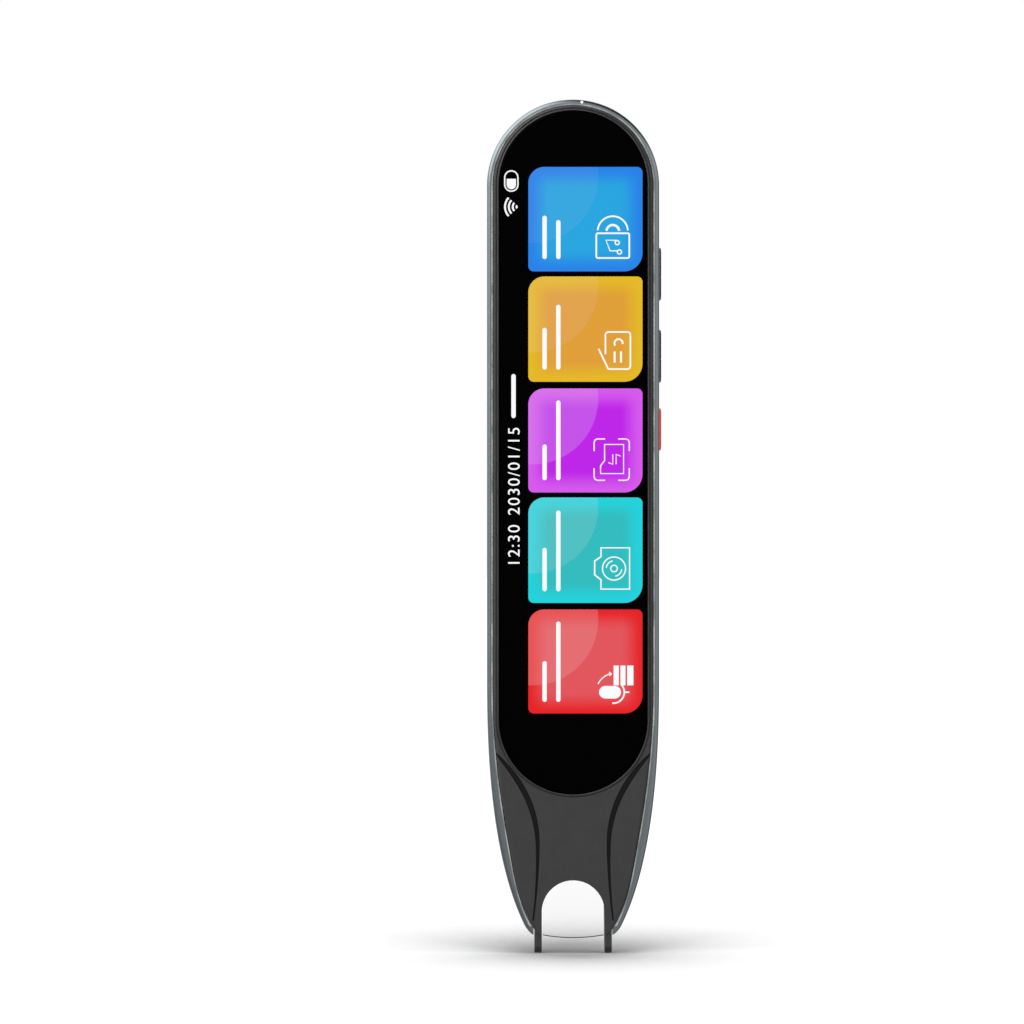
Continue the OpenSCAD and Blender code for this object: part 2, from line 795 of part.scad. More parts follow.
module usb_port() {
    color("silver") translate([0, usb_y, usb_top - usb_l]) {
        difference() {
            linear_extrude(usb_l) rounded(usb_w, usb_h, 1.25);
            translate([0, 0, 0.8]) linear_extrude(usb_l)
                rounded(usb_w - 2 * usb_wall, usb_h - 2 * usb_wall, 1.2);
        }
        translate([-3.3, -0.35, 0.5]) cube([6.6, 0.7, usb_l - 1.4]);
    }
}

module microphone() {
    top = half_w - mic_in;
    color("gold") translate([0, 0, crown_z]) rotate([0, -mic_lean, 0])
        block(-mic_w / 2, mic_w / 2, board_front - mic_t, board_front, top - mic_l, top);
}

module status_light() {
    color("white") rod_y(light_d, rim_y, rim_y + light_l, light_x, top_z - wall / 2);
}

module speaker() {
    face = ledge_back - 0.05;
    w = speaker_w / 2;
    h = speaker_h / 2;
    color([0.2, 0.2, 0.2]) {
        block(-w, w, board_back + socket_t, face - speaker_face_t, holes_z - h, holes_z + h);
        block(
            speaker_step - w, w - speaker_step, face - speaker_face_t - 0.1, face,
            holes_z + speaker_step - h, holes_z + h - speaker_step
        );
    }
}

module speaker_gasket() {
    color("black") difference() {
        block(
            -mesh_w / 2, mesh_w / 2, ledge_back - 0.05, plate_seat - mesh_t,
            holes_z - mesh_h / 2, holes_z + mesh_h / 2
        );
        block(
            0.2 - mesh_w / 2, mesh_w / 2 - 0.2, ledge_back - 1, plate_seat,
            holes_z + 0.2 - mesh_h / 2, holes_z - 0.2 + mesh_h / 2
        );
    }
}

module speaker_mesh() {
    color("dimgray") block(
        -mesh_w / 2, mesh_w / 2, plate_seat - mesh_t, plate_seat,
        holes_z - mesh_h / 2, holes_z + mesh_h / 2
    );
}

module camera_plate() {
    w = plate_w - 2 * (trim_w + 0.03);
    color(black) difference() {
        slab_y(w, w + plate_l - plate_w, plate_seat, plate_face, plate_z);
        for (i = [-2:2], j = [-1:1])
            rod_y(hole_d, plate_seat - 1, plate_face + 1, i * hole_pitch, holes_z + j * hole_pitch);
        rod_y(camera_d, plate_seat - 1, plate_face + 1, 0, camera_z, $fn = 96);
    }
}

module camera_trim_ring() {
    inner = plate_w - 2 * trim_w;
    color("red") difference() {
        slab_y(plate_w, plate_l, plate_seat, trim_face, plate_z);
        slab_y(inner, inner + plate_l - plate_w, plate_seat - 1, trim_face + 1, plate_z);
    }
}

module camera_bezel() {
    color("black") translate([0, plate_seat, camera_z]) rotate([-90, 0, 0]) difference() {
        cylinder(d = camera_d - 2 * camera_hole_gap, h = plate_face + 0.15 - plate_seat, $fn = 96);
        translate([0, 0, -1]) cylinder(d = 5, h = 4);
        translate([0, 0, 0.7]) cylinder(d1 = 5, d2 = 6.4, h = 0.71);
    }
}

module camera_lens() {
    color("midnightblue") translate([0, plate_seat, camera_z]) rotate([-90, 0, 0]) intersection() {
        cylinder(d = 5, h = 1.2);
        translate([0, 0, -6.9]) sphere(8, $fn = 96);
    }
}

module rear_camera() {
    color("dimgray") {
        block(
            -rear_cam_w / 2, rear_cam_w / 2, board_back, board_back + rear_cam_t,
            camera_z - rear_cam_w / 2, camera_z + rear_cam_w / 2
        );
        rod_y(camera_d - 1, board_back + rear_cam_t - 0.1, plate_seat, 0, camera_z);
    }
}

// ---- Scanning end -----------------------------------------------------------------------

module scan_tunnel() {
    inner = arch_w - 2 * tunnel_t;
    color(black) difference() {
        union() {
            intersection() {
                drawn_y(cover_back, back_y) arch(arch_w, tunnel_low, arch_top);
                body_form(-tunnel_lift);
            }
            // Stops under the fork's bridge
            for (s = [-1, 1])
                translate([s * 4.6, 0, 0])
                    block(-0.8, 0.8, arm_front, arm_back, arch_mid + 3, bridge_low - 0.05);
            // Posts of the scanning board
            for (s = [-1, 1])
                translate([s * (scan_board_w / 2 - 0.4), 0, 0])
                    block(
                        -post_w / 2, post_w / 2, lens_y - post_t / 2, lens_y + post_t / 2,
                        arch_mid, scan_board_z
                    );
        }
        drawn_y(cover_back + tunnel_front, back_y + 5) arch(inner, -5, arch_top - tunnel_t);
        block(-window_w / 2 - 0.05, window_w / 2 + 0.05, front_y, cover_back + window_t + 0.05, 0, window_top + 0.05);
        rod_z(barrel_hole_d, arch_mid, arch_top + 1, 0, lens_y);
        for (s = [-1, 1]) rod_z(lamp_w + 0.2, arch_mid + 2, arch_top + 1, s * lamp_x, lens_y);
    }
}

module scan_window() {
    color([0.85, 0.9, 0.92, 0.5])
        drawn_y(cover_back, cover_back + window_t)
            intersection() {
                translate([-window_w / 2, 0]) square([window_w, window_top]);
                bow_r = (pow(window_w / 2, 2) + pow(window_bow, 2)) / (2 * window_bow);
                translate([0, end_z - 0.25 + bow_r]) circle(bow_r, $fn = 180);
            }
}

module light_diffuser() {
    r = arch_w / 2 - tunnel_t;
    color("white")
        drawn_y(cover_back + tunnel_front, cover_back + tunnel_front + 2.6)
            translate([0, arch_mid]) difference() {
                circle(r, $fn = 96);
                circle(r - 0.6, $fn = 96);
                translate([-10, -10]) square([20, 10 + r * 0.42]);
            }
}

module scan_board() {
    color("darkgreen") difference() {
        block(
            -scan_board_w / 2, scan_board_w / 2, side_y, scan_cam_back,
            scan_board_z, scan_board_z + scan_board_t
        );
        rod_z(barrel_hole_d, scan_board_z - 1, scan_board_z + 2, 0, lens_y);
    }
    // Lights that shine through the tunnel's roof
    color("lightyellow") for (s = [-1, 1])
        translate([s * lamp_x, lens_y, 0])
            block(
                -lamp_w / 2, lamp_w / 2, -lamp_w / 2, lamp_w / 2,
                scan_board_z - 0.9, scan_board_z + 0.2
            );
}

module scan_camera() {
    top = scan_board_z + scan_board_t;
    color("dimgray") difference() {
        union() {
            block(-scan_cam_w / 2, scan_cam_w / 2, side_y + 0.2, scan_cam_back, top, top + scan_cam_l);
            rod_z(barrel_d, arch_top - tunnel_t, top + 0.1, 0, lens_y);
        }
        rod_z(scan_lens_d, arch_top - tunnel_t - 1, top - 0.6, 0, lens_y);
    }
}

module scan_lens() {
    color("midnightblue")
        rod_z(scan_lens_d, arch_top - tunnel_t + 0.2, arch_top - tunnel_t + 1, 0, lens_y);
}

module scan_flex() {
    w = flex_w / 2;
    run_y = mid_back + battery_t + flex_gap;
    bend = battery_low - 1;
    turn = board_low - battery_gap;
    tail = board_low + flex_tail;
    // Up from the scanning board, round the battery, and forward to the circuit board
    color("darkorange") {
        block(-w, w, scan_cam_back, scan_cam_back + flex_t, scan_board_z, bend);
        block(
            -w, w, min(scan_cam_back, run_y), max(scan_cam_back, run_y) + flex_t,
            bend - flex_t, bend
        );
        block(-w, w, run_y, run_y + flex_t, bend - flex_t, turn + flex_t);
        block(-w, w, board_back, run_y + flex_t, turn, turn + flex_t);
        block(-w, w, board_back, board_back + flex_t, turn, tail);
    }
}

// Rear edge of a leg: nearly upright at its shoulder, drawn in to the tip
function leg_back(z) =
    leg_tip_y + (skin_y(leg_in, nib_leg_l, 0) + 0.2 - leg_tip_y) * (1 - pow(1 - z / nib_leg_l, leg_fall));

module scan_nib() {
    r = 0.6;
    steps = 12;
    color(dark) {
        for (s = [0, 1]) mirror([s, 0, 0]) {
            drawn_x(leg_in, leg_out) polygon(concat(
                [[leg_front, nib_leg_l]],
                [for (a = [180:15:270]) [leg_front + r + r * cos(a), r + r * sin(a)]],
                [for (i = [0:steps]) let (z = nib_leg_l * pow(i / steps, 1.5)) [leg_back(z), z]]
            ));
            block(arm_in, arm_in + arm_t, arm_front, arm_back, nib_leg_l - 4, bridge_top);
        }
        block(-arm_in - 0.1, arm_in + 0.1, arm_front, arm_back, bridge_low, bridge_top);
        rod_z(nib_boss_d, bridge_top - 0.1, nib_switch_low + 0.3, 0, arm_mid);
    }
}

// A coil spring standing on z = 0, with its ends laid flat
module coil(h) {
    r = (spring_d - spring_wire) / 2;
    per_turn = 12;
    n = spring_turns * per_turn;
    sides = 6;
    rise = h - spring_wire;
    function climb(t) = t < 1 ? 0.4 * spring_wire * t
        : t > spring_turns - 1 ? rise - 0.4 * spring_wire * (spring_turns - t)
        : 0.4 * spring_wire + (rise - 0.8 * spring_wire) * (t - 1) / (spring_turns - 2);
    loft([
        for (i = [0:n])
            let (a = 360 * i / per_turn, z = spring_wire / 2 + climb(i / per_turn))
            [
                for (j = [0:sides - 1])
                    let (b = -360 * j / sides, q = r + spring_wire / 2 * cos(b))
                    [q * cos(a), q * sin(a), z + spring_wire / 2 * sin(b)]
            ]
    ]);
}

module nib_springs() {
    color("silver") for (s = [-1, 1])
        translate([s * spring_x, arm_mid, bridge_top]) coil(shelf_z - bridge_top);
}

module nib_switch() {
    color("gainsboro") difference() {
        block(-2.8, 2.8, arm_front, arm_back, nib_switch_low, shelf_z);
        rod_z(nib_boss_d + 0.3, nib_switch_low - 1, nib_switch_low + nib_travel + 0.6, 0, arm_mid);
    }
}

rear_housing();
front_frame();
glass_bezel();
cover_glass();
display_panel();
display_flex();
mid_plate();
screws();
battery();
main_board();
shield_can();
side_switches();
upper_voice_key();
lower_voice_key();
power_key();
card_socket();
usb_port();
microphone();
status_light();
speaker();
speaker_gasket();
speaker_mesh();
camera_plate();
camera_trim_ring();
camera_bezel();
camera_lens();
rear_camera();
scan_tunnel();
scan_window();
light_diffuser();
scan_board();
scan_camera();
scan_lens();
scan_flex();
scan_nib();
nib_springs();
nib_switch();
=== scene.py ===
import math

import bmesh
import bpy
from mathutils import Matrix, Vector


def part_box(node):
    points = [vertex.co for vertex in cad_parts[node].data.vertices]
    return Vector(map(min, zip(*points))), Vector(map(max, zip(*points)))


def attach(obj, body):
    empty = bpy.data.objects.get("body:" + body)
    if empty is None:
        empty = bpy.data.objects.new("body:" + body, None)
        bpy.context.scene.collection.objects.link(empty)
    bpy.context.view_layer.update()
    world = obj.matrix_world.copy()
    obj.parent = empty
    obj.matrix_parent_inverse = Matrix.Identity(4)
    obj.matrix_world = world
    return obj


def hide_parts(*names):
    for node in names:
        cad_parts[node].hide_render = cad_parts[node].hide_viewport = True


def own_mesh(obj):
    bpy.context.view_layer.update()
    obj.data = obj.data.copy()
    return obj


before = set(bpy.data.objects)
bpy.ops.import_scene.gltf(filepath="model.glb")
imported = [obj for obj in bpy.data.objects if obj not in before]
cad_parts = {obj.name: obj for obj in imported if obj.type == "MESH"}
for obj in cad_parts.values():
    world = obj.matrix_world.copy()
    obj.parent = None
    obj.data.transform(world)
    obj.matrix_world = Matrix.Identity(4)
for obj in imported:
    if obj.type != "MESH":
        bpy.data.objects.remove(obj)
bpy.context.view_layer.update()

# ---- Rear housing -----------------------------------------------------------------------
# One shell of aluminium, milled from bar, bead-blasted and anodised grey-green. A chamfer is
# cut bright along the inner edge of its rim. The mid plate is screwed into its six bosses.

MM = 0.001
HALF_W, WALL = 15.7, 1.1
FRONT_Y, RIM_Y, SIDE_Y, BACK_Y = -5.9, -4.45, -1.0, 5.9
END_Z, TAPER_Z, CROWN_Z = 3.0, 50.3, 139.8
TAPER_REACH, TAPER_POWER, BACK_FALL, CROWN_POWER = 53.1, 2.4, 1.8, 2.5
CORNER_Z, CORNER_X = 2.0, 1.1
RIM_ROLL, RIM_ROUND, RIM_BEVEL, RIM_BRIGHT = 0.82, 0.5, 0.04, 0.22
LIP_W, LIP_LOW, LIP_Z, LIP_HIGH = 0.6, 7.0, 20.7, 47.0
KEY_Y, KEY_W, KEY_GAP, KEY_CHAMFER = -1.05, 2.8, 0.1, 0.07
# Each key: its body, the height of its middle, its length.
KEYS = [
    ("upper_voice_key", 123.8, 9.7), ("lower_voice_key", 108.8, 9.7), ("power_key", 95.4, 7.8)
]
PLATE_Z, PLATE_W, PLATE_L, PLATE_SEAT, SEAT_W, SEAT_T = 133.4, 11.2, 23.8, 4.5, 1.2, 0.6
ARCH_W, ARCH_TOP, TUNNEL_LOW, MOUTH_X = 13.0, 23.2, 14.0, 7.2
# The right-hand screw of each pair, in x and z, and the bosses that they go into.
SCREWS, BOSS_R, BOSS_FRONT = [(9.8, 38.5), (10.4, 102.0), (7.2, 148.6)], 1.5, -2.5
SLOT_W, SLOT_L, SLOT_Y, SLOT_Z = 1.6, 12.1, 0.6, 139.85
USB_W, USB_H, USB_R, USB_Y = 9.1, 3.36, 1.3, -0.95
MIC_R, MIC_Y, MIC_TURN = 0.45, -1.95, math.radians(60)
LIGHT_X, LIGHT_Z, LIGHT_R, LIGHT_END = 1.6, 154.95, 0.25, -2.8


def side_w(z):
    """Half width of the body at a height, before its lower corners are rounded."""
    u = max(0, (TAPER_Z - z) / TAPER_REACH)
    return HALF_W * math.sqrt(1 - u**TAPER_POWER)


def side_slope(z):
    u = max(0, (TAPER_Z - z) / TAPER_REACH)
    return HALF_W**2 * TAPER_POWER * u ** (TAPER_POWER - 1) / (2 * TAPER_REACH * side_w(z))


def corner_cut(z, end_in, size):
    """What the rounding of a lower corner takes off."""
    u = min(1, max(0, (END_Z + end_in + CORNER_Z - z) / CORNER_Z))
    return size * (1 - math.sqrt(1 - u * u))


def half_at(z, inset, end_in):
    """Half width of the body at a height, set in at right angles to its outline."""
    return (
        side_w(z) - inset * math.sqrt(1 + side_slope(z) ** 2)
        - corner_cut(z, end_in, max(0, CORNER_X - inset / 2))
    )


def back_at(z, inset):
    """Depth of the back on its middle line."""
    depth = (BACK_Y - SIDE_Y) * (side_w(z) / HALF_W) ** BACK_FALL
    return SIDE_Y + max(0.1, depth - inset - corner_cut(z, inset, CORNER_X / 2))


def skin_y(x, z, inset):
    """Depth of the crowned back at a place on it."""
    if z > CROWN_Z:
        r, back = math.hypot(x, z - CROWN_Z) / (HALF_W - inset), BACK_Y - inset
    else:
        r, back = abs(x) / half_at(z, inset, inset), back_at(z, inset)
    return SIDE_Y + (back - SIDE_Y) * max(0, 1 - r**CROWN_POWER) ** (1 / CROWN_POWER)


def crown(w, back, steps=40):
    """The crowned back of a cross-section, from the middle line to the side."""
    p = 2 / CROWN_POWER
    return [(w * max(0, math.cos(a)) ** p, SIDE_Y + (back - SIDE_Y) * math.sin(a) ** p)
            for a in (math.pi / 2 * (1 - i / steps) for i in range(steps + 1))]


def lip(z):
    """What the rim gains in width along the taper, where the front cover draws in."""
    t = (z - LIP_Z) / (LIP_Z - LIP_LOW if z < LIP_Z else LIP_HIGH - LIP_Z)
    return LIP_W * math.cos(math.pi / 2 * min(1, abs(t))) ** 2


def rounding(r, count, first=1):
    """Steps over a rounded edge: how far in each is, and how far below the face."""
    return [(r * (1 - math.cos(a)), r * (1 - math.sin(a)))
            for a in (math.pi / 2 * i / count for i in range(first, count + 1))]


def wall_profile(z):
    """Right half of the shell's wall: out from the middle line to the rim, and back inside."""
    w, w_in = half_at(z, 0, 0), half_at(z, WALL, WALL)
    edge = w_in - lip(z)
    outer = crown(w, back_at(z, 0)) + [
        (w - RIM_ROLL * u, RIM_Y + RIM_ROUND * v) for u, v in rounding(1, 8, 0)
    ]
    inner = [(edge + RIM_BEVEL + RIM_BRIGHT, RIM_Y)] + [
        (edge + RIM_BEVEL * (1 - i / 4), RIM_Y + 0.02 + RIM_BEVEL * i / 4) for i in range(5)
    ]
    inner += [(edge, RIM_Y + 0.6), (w_in, RIM_Y + 1.3), (w_in, RIM_Y + 2.6)]
    return outer, inner + crown(w_in, back_at(z, WALL))[::-1]


def finished(mesh, angle=32):
    """Merges doubles, turns the faces outwards and shades them smooth up to an angle."""
    work = bmesh.new()
    work.from_mesh(mesh)
    bmesh.ops.remove_doubles(work, verts=work.verts, dist=1e-7)
    bmesh.ops.recalc_face_normals(work, faces=work.faces)
    work.to_mesh(mesh)
    work.free()
    mesh.shade_smooth()
    mesh.set_sharp_from_angle(angle=math.radians(angle))


def piece(name, verts, faces):
    """An object from points in millimetres; its place is in its mesh."""
    mesh = bpy.data.meshes.new(name)
    mesh.from_pydata([Vector(v) * MM for v in verts], [], faces)
    finished(mesh)
    made = bpy.data.objects.new(name, mesh)
    bpy.context.scene.collection.objects.link(made)
    return made


def lofted(name, loops, ring=False):
    """A solid through loops of equally many points; it is capped, or closed into a ring."""
    n, count = len(loops[0]), len(loops)
    faces = []
    for k in range(count if ring else count - 1):
        a, b = k * n, (k + 1) % count * n
        faces += [(a + i, a + (i + 1) % n, b + (i + 1) % n, b + i) for i in range(n)]
    if not ring:
        faces += [tuple(range(n)), tuple(range(n * (count - 1), n * count))]
    return piece(name, [p for loop in loops for p in loop], faces)


def bow(u, v, r, start, end, steps=16):
    """Points on an arc, in degrees."""
    turns = [math.radians(start + (end - start) * i / steps) for i in range(steps + 1)]
    return [(u + r * math.cos(a), v + r * math.sin(a)) for a in turns]


def disc(u, v, r, steps=32):
    """Points round a circle."""
    return bow(u, v, r, 0, 360, steps)[:-1]


def stadium(w, l, steps=64):
    """Points round a stadium about the origin, its length upright."""
    end = (l - w) / 2
    return bow(0, end, w / 2, 0, 180, steps) + bow(0, -end, w / 2, 180, 360, steps)


def cornered(u0, u1, v0, v1, radii, steps):
    """Points round a rectangle, corner by corner from the upper right, each with its radius."""
    a, b, c, d = radii
    return (bow(u1 - a, v1 - a, a, 0, 90, steps) + bow(u0 + b, v1 - b, b, 90, 180, steps)
            + bow(u0 + c, v0 + c, c, 180, 270, steps) + bow(u1 - d, v0 + d, d, 270, 360, steps))


def deep(points, *depths):
    """Loops of a shape seen from the front, one at each depth."""
    return [[(x, y, z) for x, z in points] for y in depths]


def risen(points, *heights):
    """Loops of a shape seen from above, one at each height."""
    return [[(x, y, z) for x, y in points] for z in heights]


def upright(w, l, y, z, steps=64):
    """A stadium seen from the front."""
    return [(u, y, z + v) for u, v in stadium(w, l, steps)]


def sideways(w, l, x, y, z, steps=48):
    """A stadium seen from the side."""
    return [(x, y + u, z + v) for u, v in stadium(w, l, steps)]


def box(x0, x1, y0, y1, z0, z1):
    """Loops of a plain block, from its foot up."""
    return risen([(x0, y0), (x1, y0), (x1, y1), (x0, y1)], z0, z1)


def arch(w, low, top):
    """An upright opening, round at its top."""
    return [(w / 2, low)] + bow(0, top - w / 2, w / 2, 0, 180, 64) + [(-w / 2, low)]


def spaced(low, high, rows):
    """Heights between two, closer together near the foot."""
    return [low + (high - low) * (i / rows) ** 1.6 for i in range(rows + 1)]


def evaluated(made):
    """Takes in a piece's modifiers."""
    bpy.context.view_layer.update()
    mesh = bpy.data.meshes.new_from_object(
        made.evaluated_get(bpy.context.evaluated_depsgraph_get())
    )
    made.modifiers.clear()
    made.data = mesh


def shaped(made, forms, operation="DIFFERENCE"):
    """Cuts forms out of a piece, or joins them to it. A form is a piece, or the loops of one."""
    held = bpy.data.collections.new("tools")
    bpy.context.scene.collection.children.link(held)
    tools = [form if isinstance(form, bpy.types.Object) else lofted("tool", form)
             for form in forms]
    for tool in tools:
        bpy.context.scene.collection.objects.unlink(tool)
        held.objects.link(tool)
    change = made.modifiers.new("shape", "BOOLEAN")
    change.operation, change.solver = operation, "EXACT"
    change.operand_type, change.collection = "COLLECTION", held
    evaluated(made)
    for tool in tools:
        bpy.data.objects.remove(tool)
    bpy.data.collections.remove(held)
    finished(made.data)


def linear(code):
    """An sRGB hex colour as the linear values that shaders take."""
    parts = [int(code[i:i + 2], 16) / 255 for i in (1, 3, 5)]
    return [c / 12.92 if c <= 0.04045 else ((c + 0.055) / 1.055) ** 2.4 for c in parts] + [1]


def add(tree, kind, inputs=None, **settings):
    """Adds a node with its settings and links, or sets a node that is there. An input takes a
    value, a hex colour, a socket to link, or a node, which is linked by its first live output."""
    made = tree.nodes.new(kind) if isinstance(kind, str) else kind
    for name, value in settings.items():
        setattr(made, name, value)
    for name, value in (inputs or {}).items():
        value = linear(value) if isinstance(value, str) else value
        if isinstance(value, bpy.types.Node):
            value = next(socket for socket in value.outputs if socket.enabled)
        if isinstance(value, bpy.types.NodeSocket):
            tree.links.new(value, made.inputs[name])
        else:
            made.inputs[name].default_value = value
    return made


def finish_of(name, **shader_inputs):
    """A material with one Principled shader. Words joined by _ name the shader's inputs."""
    made = bpy.data.materials.new(name)
    made.use_nodes = True
    tree = made.node_tree
    tree.nodes.clear()
    shader = add(tree, "ShaderNodeBsdfPrincipled",
                 {key.replace("_", " "): value for key, value in shader_inputs.items()})
    add(tree, "ShaderNodeOutputMaterial", {"Surface": shader})
    add(tree, "ShaderNodeTexCoord")
    return made


def parts_of(finish):
    """A finish's node tree, its shader, and where a point lies on the object."""
    nodes = finish.node_tree.nodes
    place = nodes["Texture Coordinate"].outputs["Object"]
    return finish.node_tree, nodes["Principled BSDF"], place


def grained(made, size, bump, rough, tints=None):
    """Gives a finish its grain: a noise of a size in millimetres drives relief, gloss and tint."""
    tree, shader, place = parts_of(made)
    noise = add(tree, "ShaderNodeTexNoise",
                {"Vector": place, "Scale": 1 / (size * MM), "Detail": 2.0})
    add(tree, shader, {"Roughness": add(tree, "ShaderNodeMapRange", {
        "Value": noise, "From Min": 0.3, "From Max": 0.7, "To Min": rough[0], "To Max": rough[1]
    })})
    if bump:
        add(tree, shader, {"Normal": add(tree, "ShaderNodeBump", {
            "Height": noise, "Strength": 1.0, "Distance": bump * MM
        })})
    if tints:
        wide = add(tree, "ShaderNodeTexNoise",
                   {"Vector": place, "Scale": 1 / (size * 12 * MM), "Detail": 3.0})
        share = add(tree, "ShaderNodeMapRange", {
            "Value": wide, "From Min": 0.35, "From Max": 0.65
        })
        add(tree, shader, {"Base Color": add(tree, "ShaderNodeMix", {
            0: share, 6: tints[0], 7: tints[1]
        }, data_type="RGBA")})
    return made


def coat(made, *finishes):
    """Gives a piece its finishes; all of its faces have the first."""
    made.data.materials.clear()
    for finish in finishes:
        made.data.materials.append(finish)


heights = spaced(END_Z, TAPER_Z, 90)
heights += [TAPER_Z + (CROWN_Z - TAPER_Z) * i / 30 for i in range(1, 31)]
TURNS = 96
verts, faces = [], []
half = len(wall_profile(TAPER_Z)[0])
for z in heights:
    profile = sum(wall_profile(z), [])
    verts += [(x, y, z) for x, y in profile] + [(-x, y, z) for x, y in profile]
n = 2 * half
for k in range(len(heights) - 1):
    for side in (0, n):
        a, b = k * 2 * n + side, (k + 1) * 2 * n + side
        faces += [(a + i, a + i + 1, b + i + 1, b + i) for i in range(n - 1)]
for side in (0, n):
    faces += [(side + i, side + i + 1, side + n - 2 - i, side + n - 1 - i)
              for i in range(half - 1)]
dome = len(verts)
profile = sum(wall_profile(CROWN_Z), [])
for j in range(TURNS + 1):
    a = math.pi * j / TURNS
    verts += [(x * math.cos(a), y, CROWN_Z + x * math.sin(a)) for x, y in profile]
for j in range(TURNS):
    a, b = dome + j * n, dome + (j + 1) * n
    faces += [(a + i, a + i + 1, b + i + 1, b + i) for i in range(1, n - 2)]
    faces += [(a, a + 1, b + 1), (a + n - 2, a + n - 1, b + n - 2)]
shell = piece("shell", verts, faces)

added = [[upright(PLATE_W + 2 * SEAT_W, PLATE_L + 2 * SEAT_W, y, PLATE_Z)
          for y in (PLATE_SEAT - SEAT_T, PLATE_SEAT + SEAT_T)]]
for x, z in SCREWS:
    for s in (-1, 1):
        rod = disc(s * x, z, BOSS_R)
        # A boss ends inside the wall, under the lowest place of the skin over it.
        top = min([skin_y(x, z, WALL) + 0.5] + [skin_y(u, v, 0.4) for u, v in rod])
        added.append(deep(rod, BOSS_FRONT, top))
shaped(shell, added, "UNION")

# Cut out: the plate's seat and the room under it, the charging socket's mouth, the arch and
# the mouth below it, the card slot, the keys' openings, and the microphone's and light's holes.
cuts = [
    [upright(PLATE_W + 0.1, PLATE_L + 0.1, y, PLATE_Z) for y in (PLATE_SEAT, 7)],
    [upright(PLATE_W - 2, PLATE_L - 2, y, PLATE_Z) for y in (3, PLATE_SEAT + 0.1)],
    risen(cornered(-USB_W / 2, USB_W / 2, USB_Y - USB_H / 2, USB_Y + USB_H / 2, [USB_R] * 4, 12),
          147.4, 158),
    deep(arch(ARCH_W + 0.1, -2, ARCH_TOP + 0.05), -20, 20),
    box(-MOUTH_X, MOUTH_X, -20, 20, -2, TUNNEL_LOW),
    [sideways(SLOT_W, SLOT_L, x, SLOT_Y, SLOT_Z) for x in (11.8, 17)],
]
for name, z, l in KEYS:
    cuts.append([
        sideways(KEY_W + 2 * KEY_GAP + wider, l + 2 * KEY_GAP + wider, x, KEY_Y, z)
        for x, wider in ((13, 0), (HALF_W - 0.02 - KEY_CHAMFER, 0),
                         (HALF_W - 0.02 + KEY_CHAMFER, 4 * KEY_CHAMFER))
    ])
cuts.append([
    [(u * math.cos(MIC_TURN) - reach * math.sin(MIC_TURN), v,
      CROWN_Z + u * math.sin(MIC_TURN) + reach * math.cos(MIC_TURN))
     for u, v in disc(0, MIC_Y, MIC_R)] for reach in (12.5, 17)
])
cuts.append(deep(disc(LIGHT_X, LIGHT_Z, LIGHT_R, 24), -6, LIGHT_END))
shaped(shell, cuts)

# Bead-blasted anodised aluminium: an even satin with a very fine grain. The real grain is
# 0.05 mm; it is drawn at 0.3 mm, because nothing finer shows.
anodised = grained(
    finish_of("bead_blasted_anodised_aluminium", Metallic=1.0), 0.3, 0.003, (0.22, 0.27),
    ("#80888b", "#828a8d")
)
# The same aluminium where the chamfer is cut after anodising: bare, bright and faintly milled.
bright_cut = grained(
    finish_of("bright_cut_aluminium", Metallic=1.0), 0.35, 0.02, (0.12, 0.40),
    ("#9aa1a1", "#e4e8e7")
)
coat(shell, anodised, bright_cut)
for face in shell.data.polygons:
    x, y, z = (c / MM for c in face.center)
    if z > CROWN_Z:
        depth = HALF_W - math.hypot(x, z - CROWN_Z)
    else:
        depth = (half_at(z, 0, 0) - abs(x)) / math.sqrt(1 + side_slope(z) ** 2) - lip(z)
    if face.normal.y < -0.5 and RIM_Y - 0.01 < y < RIM_Y + 0.1 and z > 5 and depth > 0.8:
        face.material_index = 1
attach(shell, "housing")
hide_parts("rear_housing")

# ---- Battery, boards and plate ----------------------------------------------------------
# The mid plate is stamped aluminium. The lithium cell, the glass-fibre boards with their
# soldered shield can, and the switches and sockets are fixed to it before the shell goes on.

# Each finish: colour, metallic, roughness, width and height of its grain in mm, its pieces.
INSIDE = {
    "stamped_aluminium": ("#a9adae", 1.0, 0.35, 0.8, 0.01, ["mid_plate"]),
    "nickel_plated_steel": ("#8e9092", 1.0, 0.28, 0.2, 0.004, ["screws"]),
    "spring_steel_wire": ("#b4b6b8", 1.0, 0.25, 0.2, 0.002, ["nib_springs"]),
    "aluminium_laminate_film": ("#9aa3ad", 0.9, 0.30, 2.0, 0.03, ["battery"]),
    "green_solder_mask": ("#1f4a2c", 0.0, 0.35, 0.4, 0.01, ["main_board", "scan_board"]),
    "tinned_steel": ("#b9bab8", 1.0, 0.30, 0.5, 0.01, ["shield_can", "card_socket"]),
    "moulded_nylon": ("#c9c8c2", 0.0, 0.50, 0.3, 0.004, ["side_switches", "nib_switch"]),
    "gold_plated_can": ("#c9a24b", 1.0, 0.30, 0.2, 0.002, ["microphone"]),
    "black_glass_filled_nylon": ("#1c1c1d", 0.0, 0.55, 0.3, 0.01,
                                 ["speaker", "rear_camera", "scan_camera"]),
    "black_foam": ("#161616", 0.0, 0.95, 0.25, 0.03, ["speaker_gasket"]),
    "black_woven_steel_mesh": ("#202021", 1.0, 0.50, 0.15, 0.02, ["speaker_mesh"]),
    "polyimide_film": ("#b3701f", 0.0, 0.35, 0.6, 0.004, ["display_flex", "scan_flex"]),
    "black_display_backing": ("#101113", 0.0, 0.40, 0.5, 0.004, ["display_panel"]),
}
for finish, (colour, metallic, rough, size, bump, names) in INSIDE.items():
    made = grained(finish_of(finish, Base_Color=colour, Metallic=metallic), size, bump,
                   (rough - 0.06, rough + 0.08))
    for name in names:
        coat(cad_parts[name], made)

